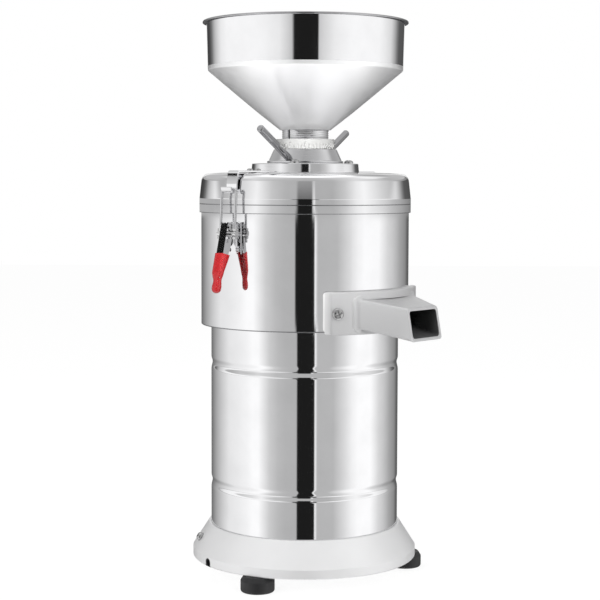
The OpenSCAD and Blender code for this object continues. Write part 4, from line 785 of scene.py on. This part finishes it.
def screw_head(radius, height, shank_r, shank):
    """A pan head with a cross recess, and its shank; z = 0 is the seat."""
    rings = [1.0, 0.985, 0.95, 0.9, 0.84, 0.76, 0.68, 0.6, 0.5, 0.4, 0.3, 0.2, 0.1, 0.0]
    slot, reach = radius * 0.13, radius * 0.62
    rows = []
    for k in range(64):
        a = 2 * pi * k / 64
        c, s = cos(a), sin(a)
        row = [(0, 0, -shank), (shank_r * c, shank_r * s, -shank), (shank_r * c, shank_r * s, 0),
               (radius * 0.985 * c, radius * 0.985 * s, 0)]
        for t in rings:
            x, y = radius * t * c, radius * t * s
            top = height * (0.35 + 0.65 * sqrt(max(0.0, 1 - t ** 2.6)))
            if min(abs(x), abs(y)) < slot and max(abs(x), abs(y)) < reach:
                top -= height * 0.6 * (1 - t * 0.5)
            row.append((x, y, top))
        rows.append(row)
    return grid(rows, close_u=True)


def spout_bolts():
    head = screw_head(6.1, 3.9, M5_R, 17.0)
    side = degrees(asin(SPOUT_SCREW_SIDE / FLANGE_OUT))
    return [moved(head, posed(SPOUT_AZ + s * side, FLANGE_OUT + 0.35, Z_SPOUT_SCREW, 90) @
                  spun(spin)) for s, spin in ((-1, 0.35), (1, 1.1))]


def flange_bolts():
    head = screw_head(5.0, 4.0, M5_R, 30.0)
    return [moved(head, Matrix.Translation(place(SCREW_CIRCLE_R, SCREW_AZ + 120 * i, Z_FLANGE)) @
                  spun(0.4 + i)) for i in range(3)]


def hook_bolts():
    head = screw_head(3.2, 2.2, M3_5_R, 7.0)
    return [moved(head, Matrix.Translation(place(r, az, Z_LID + HOOK_T)) @ spun(0.3 + i))
            for _, az in LATCHES for i, r in enumerate(HOOK_SCREWS_R)]


def earth_bolt():
    """The screw on the base's sloping side, over a toothed washer."""
    lean = degrees(atan2(SKIRT_R - RIM_R, Z_RIM - Z_BAND))
    r = SKIRT_R - (SKIRT_R - RIM_R) / (Z_RIM - Z_BAND) * EARTH_RISE
    seat = posed(GROUND_AZ, r, Z_BAND + EARTH_RISE, 90 - lean)
    low, tooth_depth, tooth_width = 0.05, 0.5, 15

    def tooth(angle, r, z):
        return r - (tooth_depth if r == WASHER_R and int(angle / tooth_width) % 2 else 0)

    washer = lathe([(WASHER_BORE_R, low), (WASHER_R, low), (WASHER_R, WASHER_T),
                    (WASHER_BORE_R, WASHER_T)], 48, shape=tooth)
    head = screw_head(4.3, 4.2, M5_R, 9.0)
    return [moved(head, seat @ Matrix.Translation((0, 0, WASHER_T))), moved(washer, seat)]


for name, parts, node in (("spout_bolts", spout_bolts(), "spout_screws"),
                          ("flange_bolts", flange_bolts(), "flange_screws"),
                          ("hook_bolts", hook_bolts(), "hook_screws"),
                          ("earth_bolt", earth_bolt(), "ground_screw")):
    build(name, parts, "frame", "screw", [node], sharp=38)


# Latches: the hook strips over the lid and the red grips of the levers

PIVOT_R, PIVOT_Z = 124.0, 380.0
LEVER_FRONT, LEVER_LEAN = 4.6, 13.5
STRIP_IN, STRIP_HALF_W, STRIP_LEG_R, Z_BEND = LID_R + 0.3, 7.2, 67.0, 424.5
STRIP_OUT = STRIP_IN + HOOK_T
HOOK, CURL_R, CURL_END = Vector((121.0, 420.6)), 3.4, 352


def arc(centre, r, start, end, steps=10):
    angles = [radians(start + (end - start) * k / steps) for k in range(steps + 1)]
    return [(centre.x + r * cos(a), centre.y + r * sin(a)) for a in angles]


def hook_strip():
    """The strip over the lid, drawn in XZ, bent down past the shoulder and rolled up."""
    lean, low, top = 2, Z_LID + GAP, Z_LID + HOOK_T
    out = rounded([(STRIP_LEG_R, top), (STRIP_OUT - lean, top), (STRIP_OUT, Z_BEND),
                   (STRIP_OUT, HOOK.y)], [0, 4, 8, 0], 8, closed=False)
    curl = arc(HOOK, CURL_R, 180, CURL_END)
    lip = arc(HOOK + Vector((CURL_R + HOOK_T / 2, 0)), HOOK_T / 2, 180, 0, 6)
    under = arc(HOOK, CURL_R + HOOK_T, CURL_END, 180)
    back = rounded([(STRIP_IN, HOOK.y), (STRIP_IN, Z_BEND), (STRIP_IN - lean, low),
                    (STRIP_LEG_R, low)], [0, 8, 2, 0], 8, closed=False)
    return prism(out[:-1] + curl[:-1] + lip[1:-1] + under[1:-1] + back,
                 -STRIP_HALF_W, STRIP_HALF_W)


strips = [moved(hook_strip(), toward(az)) for _, az in LATCHES]
build("hook_strips", strips, "frame", "chrome", ["latch_hooks"], sharp=40,
      bevel=0.4)

GRIP_START, GRIP_WHOLE, GRIP_END, BULB_R = 28.6, 47.0, 70.0, 5.0
GRIP_HALF_W, GRIP_SKIN, GRIP_BACK, GRIP_CLOSING = 6.1, 2.8, -4.9, 4.4
CHANNEL_END, CHANNEL_DEPTH, BULB_X = 52, 1.8, 1.0
BULB_MIXING, BULB_ROUNDING = (48, 60), (57, 63)


def grip_section(t):
    """Closed outline of the red grip at t mm below the pivot, in the lever's own frame:
    a channel round the lever that closes, and turns into a round bulb at its end."""
    wide, skin, front = GRIP_HALF_W, GRIP_SKIN, LEVER_FRONT + 1.3
    back = GRIP_BACK + GRIP_CLOSING * progress(t, GRIP_START, GRIP_WHOLE) ** 1.2
    floor = back
    if t < CHANNEL_END:
        floor = CHANNEL_DEPTH - 2.2 * progress(t, CHANNEL_END - 6, CHANNEL_END)
    half = [(front, 0), (front, 2.4), (front, wide - 1.5), (front - 0.5, wide - 0.4),
            (front - 1.5, wide), ((front + back) / 2, wide), (back + 0.8, wide),
            (back + 0.1, wide - 0.5), (back, wide - 1.4), (back + 0.1, wide - skin + 0.4),
            (back + 0.7, wide - skin), (max(back + 0.7, floor - 0.6), wide - skin),
            (max(back + 0.4, floor), wide - skin - 0.8), (max(back + 0.2, floor), 1.2),
            (max(back, floor), 0)]
    if t > GRIP_END - BULB_R:
        r = sqrt(max(0.0, BULB_R ** 2 - (t - GRIP_END + BULB_R) ** 2))
    else:
        r = BULB_R * (0.84 + 0.16 * progress(t, *BULB_ROUNDING))
    mix = progress(t, *BULB_MIXING)
    mix = mix * mix * (3 - 2 * mix)
    out = []
    for k, (x, y) in enumerate(half):
        a = pi * k / (len(half) - 1)
        out.append((x + (BULB_X + r * cos(a) - x) * mix, y + (r * sin(a) - y) * mix))
    return out + [(x, -y) for x, y in reversed(out[1:-1])]


def grip():
    levels = ([GRIP_START, GRIP_START + 0.1, GRIP_START + 0.6] +
              [30 + 1.6 * k for k in range(11)] + [47.5 + 1.5 * k for k in range(12)] +
              [GRIP_END - BULB_R + BULB_R * sin(pi / 2 * k / 8) for k in range(1, 8)] +
              [GRIP_END - 0.02])
    rows = []
    for t in levels:
        ring = grip_section(t)
        if t == GRIP_START:
            cx = sum(p[0] for p in ring) / len(ring)
            ring = [(x + (cx - x) * 0.05, y * 0.96) for x, y in ring]
        rows.append([(x, y, -t) for x, y in ring])
    pts, faces = grid(rows, close_v=True)
    n = len(rows[0])
    faces.append(tuple(range(n)))
    faces.append(tuple(len(pts) - n + k for k in range(n - 1, -1, -1)))
    return pts, faces


for side, az in LATCHES:
    build(side + "_red_grip", [grip()], side + "_latch_lever", "vinyl",
          [side + "_grip"], sharp=50, at=posed(az, PIVOT_R, PIVOT_Z, -LEVER_LEAN))


# Adjusting nut and its two rods

RISE, HANDLE_REACH, ROD_R, ROD_ROOT, ROD_SEAT_R, ROD_SEAT_RISE = 26.6, 101, 4.0, 30.3, 36, 5.1
STOP_GROOVE, STOP_GROOVE_DEPTH, NUT_LIP_H = (Z_FLANGE - 14.5, Z_FLANGE - 11.1), 2.0, 2.5


def adjusting_nut():
    """The sleeve with its stop groove, the lip, the cone and the seat of the scale ring."""
    low, lip_top, groove_r = Z_SLEEVE + 0.05, Z_NUT + NUT_LIP_H, SLEEVE_R - STOP_GROOVE_DEPTH
    outline = [(SLEEVE_BORE_R, low), (SLEEVE_R, low), (SLEEVE_R, STOP_GROOVE[0]),
               (groove_r, STOP_GROOVE[0]), (groove_r, STOP_GROOVE[1]), (SLEEVE_R, STOP_GROOVE[1]),
               (SLEEVE_R, Z_NUT), (NUT_LIP_R, Z_NUT), (NUT_LIP_R, lip_top),
               (NUT_LIP_R - 1.6, lip_top), (RING_R + 2.4, Z_RING), (RING_SEAT_R, Z_RING),
               (RING_SEAT_R, Z_NUT_TOP), (SLEEVE_BORE_R, Z_NUT_TOP)]
    return lathe(rounded(outline, [0.2, 0.2, 0, 0, 0, 0, 0, 0.7, 0.8, 0.5, 0.6, 0, 0.3, 0.3]))


def rods():
    rise = radians(RISE)
    root_z = Z_NUT + ROD_SEAT_RISE - (ROD_SEAT_R - ROD_ROOT) * tan(rise)
    length = (HANDLE_REACH - ROD_ROOT) / cos(rise) - ROD_R
    outline = rounded([(0, 0), (ROD_R, 0), (ROD_R, length), (0, length)], [0, 0.3, 2.6, 0], 10,
                      closed=False)
    return [moved(lathe(outline, 48), posed(az, ROD_ROOT, root_z, 90 - RISE))
            for az in (HANDLE_AZ, HANDLE_AZ + 180)]


build("adjusting_collar", [adjusting_nut()], "adjuster", "turned",
      ["adjusting_nut"], sharp=38)
build("adjuster_rods", rods(), "adjuster", "rod", ["adjuster_handles"],
      sharp=40)


# Finished materials of the CAD's own nodes

SLOT_LOOK = {"cast_white": "base_cast", "cast_grey": "grey_cast", "polished_steel": "turned",
             "plated_steel": "plated", "machined_steel": "machined", "copper_windings": "copper",
             "grinding_stone": "stone", "black_rubber": "rubber", "white_rubber": "gasket",
             "black_plastic": "black", "scale_plastic": "ring", "red_vinyl": "vinyl",
             "red_plastic": "red", "white_plastic": "white"}
NODE_LOOK = {"hopper_cone": "satin", "front_lever": "chrome", "rear_lever": "chrome",
             "latch_bases": "chrome"}
for part in frame["record"]["subparts"]:
    look = NODE_LOOK.get(part["node"], SLOT_LOOK[part["material_slot"]])
    mesh = frame["nodes"][part["node"]].data
    mesh.materials.clear()
    mesh.materials.append(MAT[look])


# Nodes that the floor and the studio share

def empty_tree(owner):
    owner.use_nodes = True
    owner.node_tree.nodes.clear()
    return owner.node_tree


def light_path(tree, *names):
    node = tree.nodes.new("ShaderNodeLightPath")
    return [node.outputs[n] for n in names]


def plain_shader(tree, kind, grey=None):
    node = tree.nodes.new(kind)
    if grey is not None:
        node.inputs["Color"].default_value = (grey, grey, grey, 1)
    return node.outputs[0]


def either(tree, factor, a, b):
    """Shader a where factor is 0 and b where it is 1."""
    node = tree.nodes.new("ShaderNodeMixShader")
    for i, source in enumerate((factor, a, b)):
        tree.links.new(source, node.inputs[i])
    return node.outputs[0]


# Floor

FLOOR_HALF = 6.0  # In metres


def floor_material():
    """Pale for light, near white for the camera, with the object's shadow in both, and
    clear for mirror rays, which see the studio below."""
    mat = bpy.data.materials.new("pale_floor")
    tree = empty_tree(mat)
    camera_ray, glossy_ray = light_path(tree, "Is Camera Ray", "Is Glossy Ray")
    seen = tree.nodes.new("ShaderNodeAddShader")
    tree.links.new(plain_shader(tree, "ShaderNodeBsdfDiffuse", 0.22), seen.inputs[0])
    tree.links.new(plain_shader(tree, "ShaderNodeEmission", 0.86), seen.inputs[1])
    pale = plain_shader(tree, "ShaderNodeBsdfDiffuse", 0.8)
    clear = plain_shader(tree, "ShaderNodeBsdfTransparent")
    look = either(tree, glossy_ray, either(tree, camera_ray, pale, seen.outputs[0]), clear)
    out = tree.nodes.new("ShaderNodeOutputMaterial")
    tree.links.new(look, out.inputs[0])
    return mat


def floor():
    mesh = bpy.data.meshes.new("floor")
    a = FLOOR_HALF
    mesh.from_pydata([(-a, -a, 0), (a, -a, 0), (a, a, 0), (-a, a, 0)], [], [(0, 1, 2, 3)])
    mesh.materials.append(floor_material())
    add("floor", mesh)


# Studio: its brightness by azimuth, as mirrors show it, for bands of height. 0 is the
# camera's side. Each band but UP and TOP has a dark strip there.

LEFT = [(-180, .10), (-168, .12), (-151, .24), (-133, .45), (-106, .80), (-90, .85), (-75, .92),
        (-66, 1), (-58, 1), (-43, .62), (-32, .5), (-23, .46)]
RIGHT = [(35, .48), (50, .72), (60, .92), (68, 1), (88, 1), (103, .70), (112, .60), (128, .38),
         (146, .25), (155, .12), (180, .08)]
LOW = LEFT + [(-9.3, .45), (-8.7, .012), (11.8, .012), (12.3, .6), (12.7, .95), (13.8, .9),
              (14.4, .47)] + RIGHT
MID = LEFT + [(-11.1, .45), (-10.5, .012), (9.8, .012), (10.3, .5), (10.8, .95), (12.2, .9),
              (13, .47)] + RIGHT
LID = [(-180, .38), (-150, .41), (-123, .42), (-101, .43), (-68, .73), (-54, .92), (-36, .58),
       (-19, .43), (-8.7, .42), (-8.2, .012), (7.9, .012), (8.3, .5), (8.6, .95), (9.8, .9),
       (10.4, .42), (30, .42), (43.5, .58), (57, .85), (66.6, .95), (87.6, .71), (110, .5),
       (140, .3), (180, .12)]
HIGH = [(-180, .04), (-162, .04), (-148, .07), (-140, .17), (-130, .50), (-115, .85),
        (-103, .94), (-60, .94), (-54, .93), (-30, .84), (-19, .62), (-14.4, .5), (-13.8, .012),
        (14.2, .012), (14.8, .6), (20, .68), (33, .86), (53, .95), (94, .97), (117, .70),
        (133, .2), (139, .1), (180, .05)]
UP = [(-180, .5), (-125, .5), (-100, .43), (-80, .5), (-60, .7), (-35, .5), (0, .44), (30, .46),
      (60, .75), (85, .65), (110, .45), (140, .5), (180, .5)]
TOP = [(-180, .30), (-137, .50), (-112, .80), (-98, .95), (-84, .85), (-50, .62), (0, .48),
       (50, .62), (84, .88), (98, .98), (112, .80), (137, .45), (180, .28)]
# Each band takes over from the one before between two heights of the ray's direction
BANDS = [(MID, -0.097, -0.094), (LID, -0.026, -0.022), (HIGH, -0.004, 0.006), (LID, 0.105, 0.13),
         (UP, 0.20, 0.24), (TOP, 0.50, 0.62)]
BAND_GAIN = 1.12
RAMP_STOPS = 16  # Of a band's first ramp
# Brightness by height: below, until the low band takes over, at the back, and straight up
BELOW = [(-1.0, 1), (-.95, .97), (-.90, .90), (-.85, .78), (-.80, .62), (-.74, .44),
         (-.65, .27), (-.50, .15), (-.35, .07), (-.25, .05)]
BELOW_GAIN, LOW_SPAN = 1.6, (-0.80, -0.60)
BACK_WALL = [(0.03, .30), (0.06, .45), (0.10, .85), (0.15, 1.0), (0.25, .75)]
BACK_WALL_FROM, BACK_WALL_LOW = 166, 0.03
ZENITH, ZENITH_SPAN = 1.5, (0.84, 0.94)
PLAIN_LIGHT = 0.55
# In front the low band reaches further down, for walls that are seen from above
FRONT_TO, FRONT_REACH = 84, 0.22
# A dark panel that the front lever's outer face mirrors: azimuth, height and half sizes
PANEL_AZ, PANEL_HALF, PANEL_Z, PANEL_HALF_Z, PANEL_TONE = -86.5, 4.5, 0.285, 0.035, 0.01


def calc(tree, kind, *values):
    """A Math node of numbers and sockets."""
    node = tree.nodes.new("ShaderNodeMath")
    node.operation = kind
    for i, v in enumerate(values):
        if isinstance(v, (int, float)):
            node.inputs[i].default_value = v
        else:
            tree.links.new(v, node.inputs[i])
    return node.outputs[0]


def band(tree, turn, stops):
    """A band's tone by azimuth; a long band is made of two ramps that share a stop."""
    items = [(0.5 + a / 360, v * BAND_GAIN) for a, v in stops]
    tone = ramp(tree, turn, items[:RAMP_STOPS])
    if len(items) > RAMP_STOPS:
        later = ramp(tree, turn, items[RAMP_STOPS - 1:])
        at_later = calc(tree, "GREATER_THAN", turn, items[RAMP_STOPS - 1][0])
        tone = mixed(tree, at_later, tone, later)
    return tone


def blend(tree, a, b, start, end, height):
    """Turns softly from a to b between two heights."""
    span = tree.nodes.new("ShaderNodeMapRange")
    span.interpolation_type = "SMOOTHSTEP"
    span.inputs["From Min"].default_value = start
    span.inputs["From Max"].default_value = end
    tree.links.new(height, span.inputs["Value"])
    return mixed(tree, span.outputs[0], a, b)


def mirrored_studio(tree):
    """The tone that a mirror shows in each direction."""
    where = tree.nodes.new("ShaderNodeTexCoord")
    split = tree.nodes.new("ShaderNodeSeparateXYZ")
    tree.links.new(where.outputs["Generated"], split.inputs[0])
    x, y, z = split.outputs
    angle = calc(tree, "ARCTAN2", x, calc(tree, "MULTIPLY", y, -1.0))
    aside = calc(tree, "ABSOLUTE", angle)
    turn = calc(tree, "MULTIPLY_ADD", angle, 1 / (2 * pi), 0.5)
    in_front = calc(tree, "LESS_THAN", aside, radians(FRONT_TO))
    lowered = calc(tree, "MULTIPLY_ADD", in_front, FRONT_REACH, z)
    below = ramp(tree, calc(tree, "MULTIPLY_ADD", z, 0.5, 0.5),
                 [(0.5 + v / 2, tone) for v, tone in BELOW])
    look = calc(tree, "MULTIPLY", below, BELOW_GAIN)
    look = blend(tree, look, band(tree, turn, LOW), *LOW_SPAN, lowered)
    for stops, start, end in BANDS:
        look = blend(tree, look, band(tree, turn, stops), start, end, z)
    look = blend(tree, look, ZENITH, *ZENITH_SPAN, z)
    at_back = calc(tree, "MULTIPLY", calc(tree, "GREATER_THAN", aside, radians(BACK_WALL_FROM)),
                   calc(tree, "GREATER_THAN", z, BACK_WALL_LOW))
    wall = ramp(tree, calc(tree, "MULTIPLY", z, 2.0), [(2 * v, tone) for v, tone in BACK_WALL])
    look = mixed(tree, at_back, look, wall)
    at_panel = calc(tree, "MULTIPLY",
                    calc(tree, "COMPARE", angle, radians(PANEL_AZ), radians(PANEL_HALF)),
                    calc(tree, "COMPARE", z, PANEL_Z, PANEL_HALF_Z))
    return mixed(tree, at_panel, look, PANEL_TONE)


def studio():
    """Plain light for the object, the mirrored studio for mirrors, and white for the
    camera and rays that pass through."""
    world = bpy.data.worlds.new("studio")
    bpy.context.scene.world = world
    tree = empty_tree(world)

    def background(strength):
        node = tree.nodes.new("ShaderNodeBackground")
        node.inputs["Color"].default_value = (1, 1, 1, 1)
        node.inputs["Strength"].default_value = strength
        return node

    plain, white, mirrored = background(PLAIN_LIGHT), background(1.0), background(1.0)
    tree.links.new(mirrored_studio(tree), mirrored.inputs["Color"])
    camera_ray, glossy_ray, through = light_path(tree, "Is Camera Ray", "Is Glossy Ray",
                                                 "Is Transmission Ray")
    lit = either(tree, glossy_ray, plain.outputs[0], mirrored.outputs[0])
    look = either(tree, calc(tree, "MAXIMUM", camera_ray, through), lit, white.outputs[0])
    out = tree.nodes.new("ShaderNodeOutputWorld")
    tree.links.new(look, out.inputs[0])
    world.cycles.sampling_method = "NONE"


# Lamps and camera, in metres. The lamps don't show in mirrors or to the camera.

AXIS_X, AXIS_Y = AXIS.x * MM, AXIS.y * MM


def lamp(name, place_at, look_at, size, watts, spread=180):
    data = bpy.data.lights.new(name, "AREA")
    data.shape = "RECTANGLE"
    data.size, data.size_y = size
    data.energy = watts
    data.spread = radians(spread)
    obj = add(name, data)
    obj.location = place_at
    way = Vector(look_at) - Vector(place_at)
    obj.rotation_euler = way.to_track_quat("-Z", "Y").to_euler()
    obj.visible_glossy = False
    obj.visible_camera = False


def camera():
    """The photo's view, fitted to the curves of the rim, lid and base."""
    tilt, turn, roll = radians(90 - 3.5), radians(0.181), radians(0.16)
    data = bpy.data.cameras.new("camera")
    data.lens = 93.18
    data.sensor_width = 36.0
    data.shift_y = -0.044
    obj = add("camera", data)
    obj.location = (AXIS_X, AXIS_Y - 1.7005, 0.4302)
    aim = Matrix.Rotation(turn, 3, "Z") @ Matrix.Rotation(tilt, 3, "X")
    obj.rotation_euler = (aim @ Matrix.Rotation(roll, 3, "Z")).to_euler()
    bpy.context.scene.camera = obj


floor()
studio()
middle = (0, 0, 0.3)
lamp("key", (-1.4, -1.6, 1.25), middle, (1.6, 1.3), 20)
lamp("fill", (1.6, -1.1, 0.9), middle, (1.5, 1.3), 13)
lamp("hopper_fill", (AXIS_X, AXIS_Y - 0.42, 0.40), (AXIS_X, AXIS_Y, 0.54), (0.20, 0.12), 0.5,
     spread=75)
lamp("top", (0, 0.2, 2.4), middle, (2.0, 2.0), 3)
camera()
bpy.context.scene.view_settings.view_transform = "Standard"
